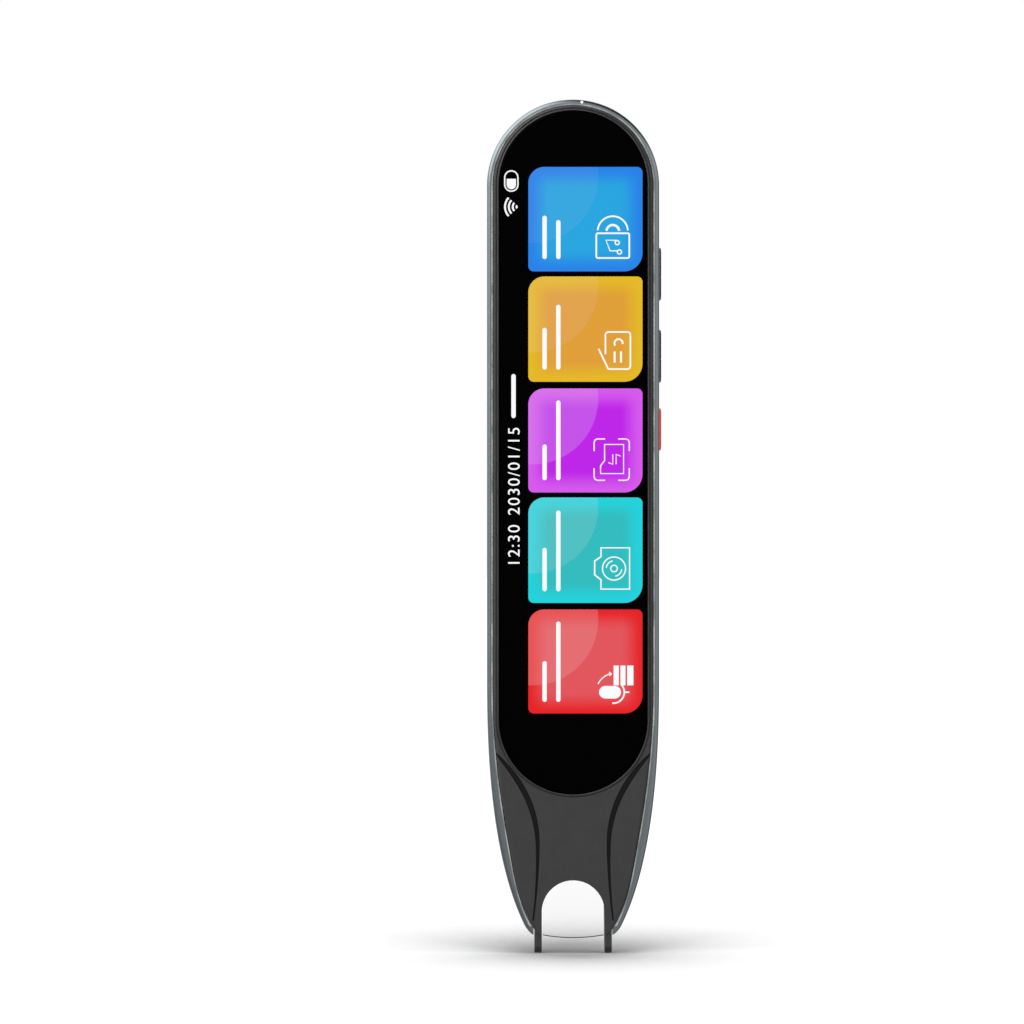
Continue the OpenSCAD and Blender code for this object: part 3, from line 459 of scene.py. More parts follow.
# ---- Front frame ------------------------------------------------------------------------
# Glass-filled polycarbonate, injection moulded dark grey with a fine spark-eroded texture. It
# snaps into the shell's rim, holds the glass, and ends below in the notched lower cover.

FRAME_IN, FRAME_END, FRAME_ROUND = 1.2, 0.3, 0.45
FRAME_FRONT, FRAME_BACK, COVER_BACK, FLOOR_BACK = -5.55, -3.1, -4.85, -3.75
HOLLOW_IN, HOLLOW_END, HOLLOW_BACK, HOLLOW_TOP = FRAME_IN + 0.9, 1.4, FRAME_BACK + 1, 27.6
FLOOR_LOW, FLOOR_TOP, DISPLAY_LOW = 27.0, 41.5, 41.4
GLASS_W, GLASS_L, GLASS_Z, GLASS_BACK = 27.0, 124.3, 91.15, -4.8
RING_W, RING_L, GROOVE = GLASS_W + 0.7, GLASS_L + 0.7, 0.25
NOTCH_W, NOTCH_TOP, LEG_OUT = 11.4, 13.3, 7.05
LINE_LOW, LINE_HIGH, LINE_DEEP = 6.0, 36.8, 0.3
SHELF_Z, SHELF_T, PAD_R, GUIDE_X, GUIDE_T = 33.0, 1.2, 2.2, 8.4, 0.8


def cover_loop(inset, y):
    """The cover's outline seen from the front, set in on all sides."""
    right = [(half_at(z, FRAME_IN + inset + lip(z), FRAME_END), y, z)
             for z in spaced(END_Z + FRAME_END, TAPER_Z, 70)]
    over = [(x, y, z) for x, z in bow(0, CROWN_Z, HALF_W - FRAME_IN - inset, 0, 180, 120)]
    return right + over + [(-x, y, z) for x, y, z in reversed(right)]


def hollow(low, high, *depths):
    """Loops of the cover's hollow between two heights, a wall in from its outline."""
    right = [(half_at(z, HOLLOW_IN + lip(z), HOLLOW_END), z) for z in spaced(low, high, 40)]
    return deep(right + [(-x, z) for x, z in reversed(right)], *depths)


cover = lofted("front_cover", [
    cover_loop(inset, y) for inset, y in [(0, FRAME_BACK), (0, FRAME_FRONT + FRAME_ROUND)]
    + [(u, FRAME_FRONT + v) for u, v in rounding(FRAME_ROUND, 8)] + [(0.5, FRAME_FRONT)]
])


def line_x(z):
    """Distance of a moulded line from the middle line."""
    return LEG_OUT - 0.6 + (0.0142 * (z - 19) ** 2.2 if z > 19 else 0.005 * (19 - z) ** 2)


def line_half(z):
    """Half width of a moulded line: widest near its upper end, and pointed at both."""
    t = min(1, max(0, (z - LINE_LOW) / (LINE_HIGH - LINE_LOW)))
    return 0.15 + 0.7 * t**1.5 * (1 - t**10)


def line_form(s):
    """Loops of a moulded line's groove, from its foot up."""
    loops = []
    for i in range(61):
        z = LINE_LOW + (LINE_HIGH - LINE_LOW) * i / 60
        x, w = s * line_x(z), line_half(z)
        top, floor = FRAME_FRONT - 0.1, FRAME_FRONT + LINE_DEEP
        loops.append([
            (x - w, top, z), (x + w, top, z), (x + w, FRAME_FRONT, z), (x + 0.8 * w, floor, z),
            (x - 0.8 * w, floor, z), (x - w, FRAME_FRONT, z)
        ])
    return loops


shaped(cover, [
    hollow(END_Z + HOLLOW_END, HOLLOW_TOP, COVER_BACK, HOLLOW_BACK),
    hollow(FLOOR_LOW, FLOOR_TOP, FLOOR_BACK, HOLLOW_BACK),
    [[(x, y, max(DISPLAY_LOW, z)) for x, y, z in upright(GLASS_W - 1.2, GLASS_L - 1.2, y, GLASS_Z)]
     for y in (GLASS_BACK - 0.5, HOLLOW_BACK)],
    box(-MOUTH_X, MOUTH_X, COVER_BACK, 0, 0, ARCH_TOP),
    [upright(RING_W + 0.04, RING_L + 0.04, y, GLASS_Z) for y in (-7, GLASS_BACK)],
    [upright(RING_W + 2 * GROOVE, RING_L + 2 * GROOVE, y, GLASS_Z)
     for y in (-6.8, FRAME_FRONT + LINE_DEEP)],
    deep(arch(NOTCH_W, -5, NOTCH_TOP), -7, -2), line_form(-1), line_form(1),
])
# Inside stand a shelf over the fork's springs, guides beside its arms and pads for two screws.
inner = [box(-7, 7, FLOOR_BACK - 0.3, -1.2, SHELF_Z, SHELF_Z + SHELF_T)]
for s in (-1, 1):
    inner.append(box(s * GUIDE_X - GUIDE_T / 2, s * GUIDE_X + GUIDE_T / 2, COVER_BACK - 0.2, -2,
                     16, 24.2))
    inner.append(deep(disc(s * SCREWS[0][0], SCREWS[0][1], PAD_R, 40), FLOOR_BACK - 0.3,
                      FRAME_BACK))
shaped(cover, inner, "UNION")

# Moulded polycarbonate with a spark-eroded texture: dull, finely pitted and neutral dark
# grey. The pits are 0.08 mm in the tool and are drawn at 0.25 mm.
dark_cover = grained(
    finish_of("spark_textured_polycarbonate", IOR=1.58), 0.25, 0.006, (0.42, 0.55),
    ("#232122", "#272526")
)
# The floors of the moulded lines and of the joint round the ring are polished in the tool; the
# shade in them is painted in, near black.
painted_groove_shade = grained(
    finish_of("painted_shade_in_polycarbonate_grooves", Specular_IOR_Level=0.2), 0.4, 0.002, (0.3, 0.4),
    ("#070707", "#0a0a0a")
)
coat(cover, dark_cover, painted_groove_shade)
# Faces on the floors of the grooves take the painted shade.
for face in cover.data.polygons:
    x, y, z = (c / MM for c in face.center)
    off = math.hypot(x, max(0, abs(z - GLASS_Z) - (RING_L - RING_W) / 2)) - RING_W / 2
    in_joint = -0.1 < off < GROOVE + 0.01
    in_line = LINE_LOW - 0.1 < z < LINE_HIGH + 0.1 and abs(abs(x) - line_x(z)) < line_half(z) + 0.01
    if FRAME_FRONT + 0.03 < y < FRAME_FRONT + LINE_DEEP + 0.02 and (in_joint or in_line):
        face.material_index = 1
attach(cover, "housing")
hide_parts("front_frame")

# ---- Glass and its ring -----------------------------------------------------------------
# A thin ring of satin black aluminium lines the frame's opening. The cover glass, ground round
# at its edge and printed black from behind, is glued inside it over the display.

RING_T, RING_CREST, GLASS_FACE, GLASS_ROUND = 0.3, FRONT_Y + 0.18, FRONT_Y + 0.02, 0.3
ring_profile = [(-RING_T, GLASS_BACK), (0, GLASS_BACK)]
ring_profile += [(-u, RING_CREST + v) for u, v in rounding(0.1, 4, 0)]
ring_profile += [(u - RING_T, RING_CREST + v) for u, v in reversed(rounding(0.08, 4, 0))]
ring = lofted("glass_ring", [
    upright(RING_W + 2 * inset, RING_L + 2 * inset, y, GLASS_Z, 96) for inset, y in ring_profile
], ring=True)
# Satin anodised ring: a soft bright line where it catches the light.
coat(ring, grained(
    finish_of("satin_black_anodised_aluminium", Metallic=1.0), 0.2, 0.002, (0.30, 0.40),
    ("#4f4f4f", "#575757")
))
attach(ring, "housing")
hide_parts("glass_bezel")

glass = lofted("cover_glass_black", [
    upright(GLASS_W - 2 * inset, GLASS_L - 2 * inset, y, GLASS_Z, 96)
    for inset, y in [(0, GLASS_BACK), (0, GLASS_FACE + GLASS_ROUND)]
    + [(u, GLASS_FACE + v) for u, v in rounding(GLASS_ROUND, 8)] + [(0.36, GLASS_FACE)]
])
# Toughened glass over black print: deep black, mirror smooth, with a coating against glare,
# so that it mirrors less than bare glass. Finger grease makes the faintest change in gloss.
coat(glass, grained(
    finish_of("coated_glass_over_black_print", Specular_IOR_Level=0.014, IOR=1.5,
              Base_Color="#010101"), 9.0, 0, (0.02, 0.045)
))
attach(glass, "housing")
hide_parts("cover_glass")

# ---- Picture on the display -------------------------------------------------------------
# The lit menu behind the glass: five coloured tiles with a line symbol each, and a line of
# signs beside them. It is drawn in thin sheets that lie flush in the face of the glass.

TILE_LEFT, TILE_RIGHT = -8.16, 12.6
TILE_BACK, TILE_FACE = GLASS_FACE + 0.02, FRONT_Y + 0.012
SIGN_BACK, SIGN_FACE = GLASS_FACE + 0.01, FRONT_Y + 0.004
TILE_CORNERS = [1.0, 2.9, 1.0, 3.35]
GLOW, GLEAM_R = 4.16, 12.0
# Each tile: its foot and its top, its colours at the rim and in the middle, its gleam.
TILES = [
    ("blue", 124.06, 143.06, "#2881e8", "#28a5e0", 0.018),
    ("yellow", 104.0, 123.14, "#e5b924", "#e09f38", 0.035),
    ("purple", 83.87, 102.78, "#d65aec", "#be24e8", 0.07),
    ("cyan", 63.78, 82.96, "#22d2dc", "#32bcbe", 0.05),
    ("red", 43.69, 62.6, "#e62226", "#e2565c", 0.07),
]
for name, low, high, edge, middle, gleam in TILES:
    tile = lofted("tile_" + name, deep(
        cornered(TILE_LEFT, TILE_RIGHT, low, high, TILE_CORNERS, 16), TILE_BACK, TILE_FACE
    ))
    # Light from the display: the rim colour fades to the middle colour, and a round patch about
    # the upper left is a little paler. The face keeps the gloss of the glass.
    lit = finish_of("lit_picture_" + name, Specular_IOR_Level=0.014, Roughness=0.03,
                    Base_Color="#050505", Emission_Strength=1.0)
    tree, shader, place = parts_of(lit)
    middle_x, middle_z = (TILE_LEFT + TILE_RIGHT) / 2, (low + high) / 2
    place = add(tree, "ShaderNodeMapping", {
        "Vector": place, "Location": (-middle_x, 0, -middle_z), "Scale": (1 / MM,) * 3
    })
    sides = add(tree, "ShaderNodeSeparateXYZ", {0: place}).outputs
    shares = []
    for part, reach in ((sides[0], TILE_RIGHT - middle_x), (sides[2], high - middle_z)):
        out = add(tree, "ShaderNodeMath", {0: part}, operation="ABSOLUTE")
        inward = add(tree, "ShaderNodeMath", {0: reach, 1: out}, operation="SUBTRACT")
        shares.append(add(tree, "ShaderNodeMapRange", {
            "Value": inward, "From Max": GLOW
        }, interpolation_type="SMOOTHSTEP"))
    colour = add(tree, "ShaderNodeMix", {
        0: add(tree, "ShaderNodeMath", dict(enumerate(shares)), operation="MULTIPLY"),
        6: edge, 7: middle
    }, data_type="RGBA")
    away = add(tree, "ShaderNodeVectorMath", {
        0: place, 1: (TILE_LEFT + 0.7 - middle_x, TILE_FACE, high - 1.8 - middle_z)
    }, operation="DISTANCE")
    patch = add(tree, "ShaderNodeMapRange", {
        "Value": away, "From Min": GLEAM_R - 0.1, "From Max": GLEAM_R + 0.1, "To Min": gleam,
        "To Max": 0.0
    })
    add(tree, shader, {"Emission Color": add(tree, "ShaderNodeMix", {
        0: patch, 6: colour, 7: "#ffffff"
    }, data_type="RGBA")})
    coat(tile, lit)
    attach(tile, "housing")

LINE_W, THIN, FINE = 0.36, 0.27, 0.22
drawn_verts, drawn_faces = [], []


def drawn(mesh, place):
    """Adds a mesh in metres to the signs; place turns a point in millimetres."""
    start = len(drawn_verts)
    drawn_verts.extend(place(*(v.co / MM)) for v in mesh.vertices)
    drawn_faces.extend(tuple(start + i for i in face.vertices) for face in mesh.polygons)


def filled(points):
    """A flat shape of a sign, from points in x and z."""
    shape = lofted("shape", deep(points, SIGN_BACK, SIGN_FACE))
    drawn(shape.data, lambda *at: at)
    bpy.data.objects.remove(shape)


def stroke(points, width=LINE_W, closed=False, place=None):
    """A line of a sign through points in x and z, round at its bends and ends."""
    curve = bpy.data.curves.new("line", "CURVE")
    curve.dimensions = "3D"
    curve.bevel_depth, curve.bevel_resolution = width / 2 * MM, 2
    curve.use_fill_caps = True
    line = curve.splines.new("POLY")
    line.points.add(len(points) - 1)
    line.use_cyclic_u = closed
    for point, (x, z) in zip(line.points, points):
        point.co = (x * MM, 0, z * MM, 1)
    made = bpy.data.objects.new("line", curve)
    depth = (SIGN_BACK - SIGN_FACE) / width
    flat = lambda x, y, z: (x, (SIGN_BACK + SIGN_FACE) / 2 + y * depth, z)
    drawn(bpy.data.meshes.new_from_object(made), place or flat)
    bpy.data.objects.remove(made)


def bar(x, low, high):
    """A plain bar with round ends, upright on the glass, in the place of words."""
    filled([(x + u, (low + high) / 2 + v) for u, v in stadium(0.8, high - low, 10)])


# Each title is two plain bars. They read upwards, so their upper side is to the left.
for low, first, second in (
    (126.3, 134.2, 133.4), (106.2, 113.8, 118.0), (86.1, 92.6, 100.6),
    (65.9, 73.8, 80.6), (45.8, 53.2, 60.4)
):
    bar(-5.2, low, first)
    bar(-2.7, low, second)
# Music: a disc half out of its sleeve, with a note on the sleeve
stroke(cornered(4.2, 10.2, 126.5, 131.0, [0.3] * 4, 5), closed=True)
stroke(bow(7.2, 131.35, 2.75, 4, 176))
stroke(bow(7.2, 131.35, 1.15, 5, 175), 0.5)
stroke([(8.0, 129.7), (5.95, 129.75), (6.7, 127.8), (8.2, 127.8)], THIN)
for x, z in ((8.0, 129.3), (8.4, 127.6)):
    stroke(bow(x, z, 0.38, 0, 342, 18), THIN, closed=True)
# Recorder: a case with an open lid
stroke([(5.86, 109.0), (5.86, 112.6), (6.05, 112.95), (6.4, 113.05), (9.9, 113.05),
        (10.25, 112.95), (10.4, 112.6), (10.4, 106.8), (10.25, 106.45), (9.9, 106.3),
        (6.6, 106.3), (6.3, 106.4), (6.15, 106.8), (4.6, 110.0)])
stroke([(7.53, 107.5), (7.53, 109.5)], 0.44)
stroke([(8.69, 107.5), (8.69, 109.5)], 0.44)
stroke(bow(8.25, 111.0, 0.75, -10, 215), 0.4)
# Scan: a page inside four corner marks
for sx, sz in ((1, 1), (-1, 1), (-1, -1), (1, -1)):
    x, z = 7.0 + 3.2 * sx, 89.84 + 3.76 * sz
    stroke([(x - 2.0 * sx, z), (x - 0.6 * sx, z), (x - 0.18 * sx, z - 0.18 * sz),
            (x, z - 0.6 * sz), (x, z - 2.2 * sz)], THIN)
stroke([(9.16, 87.3), (9.16, 92.6), (5.71, 92.6), (5.71, 89.7), (4.98, 88.7), (4.98, 87.3)],
       THIN, True)
stroke([(6.4, 89.3), (7.2, 89.0), (7.2, 90.8)], FINE)
stroke([(7.8, 89.0), (7.8, 90.8), (8.6, 90.5)], FINE)
# Camera: its body, with two arcs round the lens
stroke([(10.25, 66.3), (10.25, 73.8), (5.05, 73.8), (5.05, 72.2), (3.9, 71.4), (3.9, 68.9),
        (5.05, 68.0), (5.05, 66.3)], closed=True)
stroke(bow(7.42, 70.04, 2.1, 0, 350, 36), THIN, closed=True)
for turn in (100, 280):
    stroke(bow(7.42, 70.04, 1.4, turn, turn + 75), 0.25)
stroke(bow(7.42, 70.04, 0.6, 0, 342, 18), 0.25, closed=True)
# Voice: a microphone, an arrow and three bars of print
filled([(6.7 + v, 47.55 + u) for u, v in stadium(2.3, 4.0, 12)])
stroke(bow(7.3, 47.55, 2.0, -95, 40), 0.34)
stroke([(9.3, 47.55), (10.2, 47.55)], 0.34)
stroke(bow(7.6, 47.6, 3.4, 102, 155, 12), 0.24)
stroke([(6.5, 51.2), (7.0, 50.9), (6.6, 50.5)], FINE)
for x0, x1 in ((7.35, 8.3), (8.6, 9.5), (9.8, 10.95)):
    filled([(x0, 48.8), (x1, 48.8), (x1, 52.4), (x0, 52.4)])
# Charge, signal, time and date
stroke([(-11.25 + u, 140.5 + v) for u, v in stadium(2.4, 3.7, 12)], 0.24, closed=True)
filled([(-12.1, 140.9)] + bow(-11.25, 139.85, 0.85, 180, 360, 20) + [(-10.4, 140.9)])
for r in (0.35, 1.05, 1.75, 2.45):
    stroke(bow(-9.95, 135.8, r, 137, 223), 0.34)
bar(-10.85, 97.4, 105.4)
for digits, low in (("12:30", 70.3), ("2030/01/15", 79.7)):
    letters = bpy.data.curves.new("digits", "FONT")
    letters.body, letters.size, letters.extrude = digits, 3.05 * MM, 0.003 * MM
    letters.space_character = 1.16
    made = bpy.data.objects.new("digits", letters)
    mesh = bpy.data.meshes.new_from_object(made)
    drawn(mesh, lambda u, v, w, low=low: (-9.75 - v, SIGN_FACE + 0.004 - w, low + u))
    bpy.data.objects.remove(made)
signs = piece("lit_signs", drawn_verts, drawn_faces)
# White light of the display, a little blue, under the gloss of the glass. The grain stands for
# the dots of the panel; they are 0.06 mm apart and are drawn at 0.4 mm.
lit_white = finish_of("lit_picture_white", Specular_IOR_Level=0.014, Roughness=0.03,
                      Base_Color="#050505", Emission_Strength=1.0)
tree, shader, place = parts_of(lit_white)
dots = add(tree, "ShaderNodeTexNoise", {"Vector": place, "Scale": 1 / (0.4 * MM)})
add(tree, shader, {"Emission Color": add(tree, "ShaderNodeMix", {
    0: dots, 6: "#f6f9fc", 7: "#ffffff"
}, data_type="RGBA")})
coat(signs, lit_white)
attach(signs, "housing")

# ---- Keys -------------------------------------------------------------------------------
# Each key is moulded in one piece with its flange behind the wall and the nub that presses the
# switch. The voice keys are dark grey with a small printed sign, the power key is red.

KEY_FACE, KEY_ROUND, FLANGE_X, FLANGE_T, SWITCH_X, NUB_D = 16.13, 0.35, 14.5, 0.8, 13.2, 1.3
key_levels = [(0, FLANGE_X - FLANGE_T), (0, KEY_FACE - KEY_ROUND)]
key_levels += [(u, KEY_FACE - v) for u, v in rounding(KEY_ROUND, 7)] + [(0.4, KEY_FACE)]
# Moulded ABS under a soft-touch lacquer: dull and even, with a very fine orange peel.
black_key = grained(
    finish_of("soft_touch_lacquer_on_abs", Specular_IOR_Level=0.35), 0.5, 0.004, (0.42, 0.5),
    ("#282526", "#2c292a")
)
# The power key is moulded in red ABS and left satin from the tool.
red_key = grained(
    finish_of("satin_red_abs", IOR=1.54, Specular_IOR_Level=0.18), 0.5, 0.004, (0.32, 0.42),
    ("#dc1620", "#e41c26")
)
for name, z, l in KEYS:
    cap = lofted(name + "_cap", [
        sideways(KEY_W - 2 * inset, l - 2 * inset, x, KEY_Y, z) for inset, x in key_levels
    ])
    flange = box(FLANGE_X - FLANGE_T, FLANGE_X, KEY_Y - 1.8, KEY_Y + 1.8,
                 z - l / 2 - 0.4, z + l / 2 + 0.4)
    nub = [sideways(NUB_D, NUB_D, x, KEY_Y, z) for x in (SWITCH_X - 0.2, FLANGE_X - 0.7)]
    shaped(cap, [flange, nub], "UNION")
    coat(cap, red_key if name == "power_key" else black_key)
    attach(cap, name)
    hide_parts(name)

# A small microphone is printed in white on both voice keys, in ink 0.02 mm thick.
white_ink = grained(
    finish_of("white_pad_printing_ink"), 0.2, 0.002, (0.4, 0.5), ("#fafafa", "#ffffff")
)


def on_cap(u, v, w):
    """Lays a point of a sign on the key's face, which is round along its edges."""
    over = max(0, abs(u) - (KEY_W / 2 - KEY_ROUND))
    face = KEY_FACE - KEY_ROUND + math.sqrt(KEY_ROUND**2 - over**2)
    return face + 0.002 + v * 0.08, KEY_Y + u, w


for name, z, l in KEYS[:2]:
    drawn_verts, drawn_faces = [], []
    for points, closed in (
        (stadium(0.94, 2.1, 10), True), (bow(0, -0.42, 1.14, 190, 350, 20), False)
    ):
        stroke(points, 0.28, closed, lambda u, v, w: on_cap(u, v, z + 0.2 + w))
    sign = piece(name + "_sign", drawn_verts, drawn_faces)
    coat(sign, white_ink)
    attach(sign, name)

# ---- Camera plate -----------------------------------------------------------------------
# A black glass-filled plate with fifteen speaker holes, set in a red anodised trim ring, and a
# camera window: a black cone, a coated lens and a ring that stands proud of the plate.

TRIM_FACE, PLATE_FACE, TRIM_W = 6.0, 5.75, 0.5
CAMERA_Z, HOLES_Z, CAMERA_D = 127.2, 138.8, 7.6
HOLE_D, HOLE_PITCH = 0.84, 1.75
trim_profile = [(0, PLATE_SEAT), (TRIM_W, PLATE_SEAT)] + [
    (TRIM_W / 2 + 0.245 * u, TRIM_FACE - 0.2 * (1 - v)) for u, v in bow(0, 0, 1, 0, 180, 12)
]
trim = lofted("camera_trim", [
    upright(PLATE_W - 2 * inset, PLATE_L - 2 * inset, y, PLATE_Z) for inset, y in trim_profile
], ring=True)
# Red anodised aluminium, turned round on its crest: saturated, bright where it faces the light.
coat(trim, grained(
    finish_of("red_anodised_aluminium", Metallic=0.85), 0.3, 0.001, (0.25, 0.30),
    ("#cf060b", "#da080e")
))
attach(trim, "housing")
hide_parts("camera_trim_ring")

plate_w = PLATE_W - 2 * (TRIM_W + 0.03)
plate_l = plate_w + PLATE_L - PLATE_W
plate = lofted("camera_plate_black", [
    upright(plate_w - 2 * inset, plate_l - 2 * inset, y, PLATE_Z)
    for inset, y in ((0, PLATE_SEAT), (0, PLATE_FACE - 0.1), (0.03, PLATE_FACE - 0.03),
                     (0.1, PLATE_FACE), (0.15, PLATE_FACE))
])


def repeated(name, unit, finish, rows, columns, pitch):
    """Copies of a piece on a grid in x and z, by a node tree with named inputs."""
    tree = bpy.data.node_groups.new(name, "GeometryNodeTree")
    values = {"Unit": unit, "Finish": finish, "Rows": rows, "Columns": columns, "Pitch": pitch}
    for label, kind in zip(values, ("Object", "Material", "Int", "Int", "Float")):
        tree.interface.new_socket(label, in_out="INPUT", socket_type="NodeSocket" + kind)
    tree.interface.new_socket("Mesh", in_out="OUTPUT", socket_type="NodeSocketGeometry")
    given = add(tree, "NodeGroupInput").outputs
    spans = [add(tree, "ShaderNodeMath", {
        0: add(tree, "ShaderNodeMath", {0: given[count], 1: 1}, operation="SUBTRACT"),
        1: given["Pitch"]
    }, operation="MULTIPLY") for count in ("Columns", "Rows")]
    grid = add(tree, "GeometryNodeMeshGrid", {
        "Size X": spans[0], "Size Y": spans[1], "Vertices X": given["Columns"],
        "Vertices Y": given["Rows"]
    })
    upended = add(tree, "GeometryNodeTransform", {
        "Geometry": grid, "Rotation": (math.pi / 2, 0, 0)
    })
    one = add(tree, "GeometryNodeObjectInfo", {"Object": given["Unit"]}).outputs["Geometry"]
    copies = add(tree, "GeometryNodeInstanceOnPoints", {"Points": upended, "Instance": one})
    real = add(tree, "GeometryNodeRealizeInstances", {0: copies})
    add(tree, "NodeGroupOutput", {0: add(tree, "GeometryNodeSetMaterial", {
        "Geometry": real, "Material": given["Finish"]
    })})
    made = bpy.data.objects.new(name, bpy.data.meshes.new(name))
    bpy.context.scene.collection.objects.link(made)
    change = made.modifiers.new(name, "NODES")
    change.node_group = tree
    for socket in tree.interface.items_tree:
        if socket.in_out == "INPUT":
            change[socket.identifier] = values[socket.name]
    evaluated(made)
    bpy.data.objects.remove(unit)
    return made


# Moulded glass-filled nylon, fine matt.
black_plate = grained(
    finish_of("matt_black_nylon", Specular_IOR_Level=0.13), 0.25, 0.006, (0.4, 0.5),
    ("#131314", "#171718")
)
hole = lofted("speaker_hole", [
    upright(HOLE_D + wider, HOLE_D + wider, y, 0, 14)
    for wider, y in ((0, PLATE_SEAT - 1), (0, PLATE_FACE - 0.08), (0.3, PLATE_FACE + 0.07))
])
holes = repeated("speaker_holes", hole, black_plate, 3, 5, HOLE_PITCH * MM)
for vertex in holes.data.vertices:
    vertex.co.z += HOLES_Z * MM
shaped(plate, [holes, [upright(CAMERA_D, CAMERA_D, y, CAMERA_Z) for y in (3, 7)]])
coat(plate, black_plate)
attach(plate, "housing")
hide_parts("camera_plate")

LENS_R, LENS_CURVE, bezel_r = 2.5, 8.0, CAMERA_D / 2 - 0.03
bezel = lofted("camera_cone", [upright(2 * r, 2 * r, y, CAMERA_Z, 48) for r, y in (
    (LENS_R, PLATE_SEAT), (bezel_r, PLATE_SEAT), (bezel_r, 5.80), (bezel_r - 0.03, 5.87),
    (bezel_r - 0.1, 5.9), (3.3, 5.9), (3.22, 5.87), (3.2, 5.82), (2.9, 5.55), (2.88, 5.5),
    (2.6, 5.3), (LENS_R, 5.2)
)], ring=True)
# Anodised black ring with a turned cone: rings of a lathe tool, 0.12 mm apart.
turned_black = finish_of("turned_black_aluminium", Base_Color="#040404",
                         Specular_IOR_Level=0.12, Roughness=0.35)
tree, shader, place = parts_of(turned_black)
place = add(tree, "ShaderNodeMapping", {"Vector": place, "Location": (0, 0, -CAMERA_Z * MM)})
wave = add(tree, "ShaderNodeTexWave", {"Vector": place, "Scale": 1 / (0.24 * MM) / 20},
           wave_type="RINGS", rings_direction="Y").outputs[1]
add(tree, shader, {"Normal": add(tree, "ShaderNodeBump", {
    "Height": wave, "Distance": 0.01 * MM
})})
coat(bezel, turned_black)
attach(bezel, "housing")
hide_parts("camera_bezel")

lens_levels = [(LENS_R, PLATE_SEAT), (LENS_R, 5.2)]
for r in (LENS_R * (1 - i / 12) for i in range(1, 12)):
    lens_levels.append((r, PLATE_SEAT - 6.9 + math.sqrt(LENS_CURVE**2 - r * r)))
lens = lofted("camera_glass", [
    upright(2 * r, 2 * r, y, CAMERA_Z, 48) for r, y in lens_levels
])
# Optical glass with a coating against glare: a dark pupil, and round it a painted blue-violet
# reflection of the coating, drawn in the base colour.
coated = finish_of("lens_with_painted_reflections", Roughness=0.02, IOR=1.6, Specular_IOR_Level=0.04,
                   Emission_Strength=1.0)
tree, shader, place = parts_of(coated)
PUPIL_Y = 5.6 * MM
away = add(tree, "ShaderNodeVectorMath", {0: place, 1: (0, PUPIL_Y, CAMERA_Z * MM)},
           operation="DISTANCE")
ramp = add(tree, "ShaderNodeValToRGB", {
    0: add(tree, "ShaderNodeMath", {0: away, 1: LENS_R * MM}, operation="DIVIDE")
})
ramp.color_ramp.elements[0].color = linear("#010106")
ramp.color_ramp.elements[1].color = linear("#050507")
for at, code in ((0.35, "#03041a"), (0.5, "#060c34"), (0.62, "#04071c"), (0.78, "#020203")):
    ramp.color_ramp.elements.new(at).color = linear(code)
# Five coloured spots are painted in as emission: painted reflections of the studio that the coated
# elements deeper in the lens throw back.
painted_glints = "#000000"
for x, z, r, soft, code in (
    (-0.5, 0.72, 0.3, 0.62, "#0a1ee8"), (-0.74, 0.52, 0.3, 0.4, "#10a8ff"),
    (-0.8, 0.5, 0.1, 0.34, "#30e0ff"), (0.2, -0.3, 0.18, 0.6, "#0c1cb4"),
    (0.6, -0.36, 0.05, 0.34, "#c0c8ff")
):
    off = add(tree, "ShaderNodeVectorMath", {
        0: place, 1: (x * MM, PUPIL_Y, (CAMERA_Z + z) * MM)
    }, operation="DISTANCE")
    inside = add(tree, "ShaderNodeMapRange", {
        "Value": off, "From Min": r * MM, "From Max": (r + soft) * MM, "To Min": 1.0, "To Max": 0.0
    }, interpolation_type="SMOOTHSTEP")
    painted_glints = add(tree, "ShaderNodeMix", {0: inside, 6: painted_glints, 7: code}, data_type="RGBA")
add(tree, shader, {"Base Color": ramp, "Emission Color": painted_glints})
coat(lens, coated)
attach(lens, "housing")
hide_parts("camera_lens")

# ---- Sockets and status light -----------------------------------------------------------
# The charging socket is a drawn steel shell round a black tongue with gold contacts. A light
# guide of clear acrylic shows the charge through a pin hole in the rim.

# Stainless steel, drawn and left bare: bright, with a faint grain.
coat(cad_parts["usb_port"], grained(
    finish_of("drawn_stainless_steel", Metallic=1.0), 0.3, 0.001, (0.25, 0.3),
    ("#9d9fa1", "#aaacae")
))
light = lofted("charge_light", [
    [(x, y, z) for x, z in disc(LIGHT_X, LIGHT_Z, r, 24)]
    for r, y in ((0.13, RIM_Y), (0.2, RIM_Y + 0.03), (LIGHT_R, RIM_Y + 0.1), (LIGHT_R, LIGHT_END))
])
# Clear acrylic with a light behind it: white, and bright without a glare.
coat(light, grained(
    finish_of("clear_acrylic_light_guide", Emission_Color="#ffffff",
              Emission_Strength=0.6, Base_Color="#e8e8e8"), 0.2, 0.001, (0.2, 0.3)
))
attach(light, "housing")
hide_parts("status_light")

# ---- Scanning tunnel --------------------------------------------------------------------
# A black nylon liner through the tip carries the clear window at the front, and under its roof
# the white diffuser of the scanning lights and the lens that looks down on the line of print.

LENS_HOLE_R, LAMP_X, LAMP_HOLE_R, TUNNEL_T, PROUD = 1.6, 4.0, 0.7, 1.0, 0.15
WINDOW_R, WINDOW_FOOT, LIT_FROM, LIT_TO = 31.05, 2.75, 5, 136
# The lens sits midway between the widest line of the side and the back of its camera.
LENS_Y = (SIDE_Y + skin_y(ARCH_W / 2 - 0.5, ARCH_TOP + 0.3, WALL + 0.1)) / 2
# The liner takes the form of the tip, and stands a little proud of its skin.
sections = []
for z in (9 + 18 * i / 70 for i in range(71)):
    right = crown(half_at(z, -PROUD, -PROUD), back_at(z, -PROUD))
    right += [(right[-1][0], -2.5), (right[-1][0], RIM_Y)]
    sections.append([(x, y, z) for x, y in right] + [(-x, y, z) for x, y in right[:0:-1]])
tunnel = lofted("tunnel_liner", deep(arch(ARCH_W, TUNNEL_LOW, ARCH_TOP), RIM_Y, 7))
shaped(tunnel, [sections], "INTERSECT")
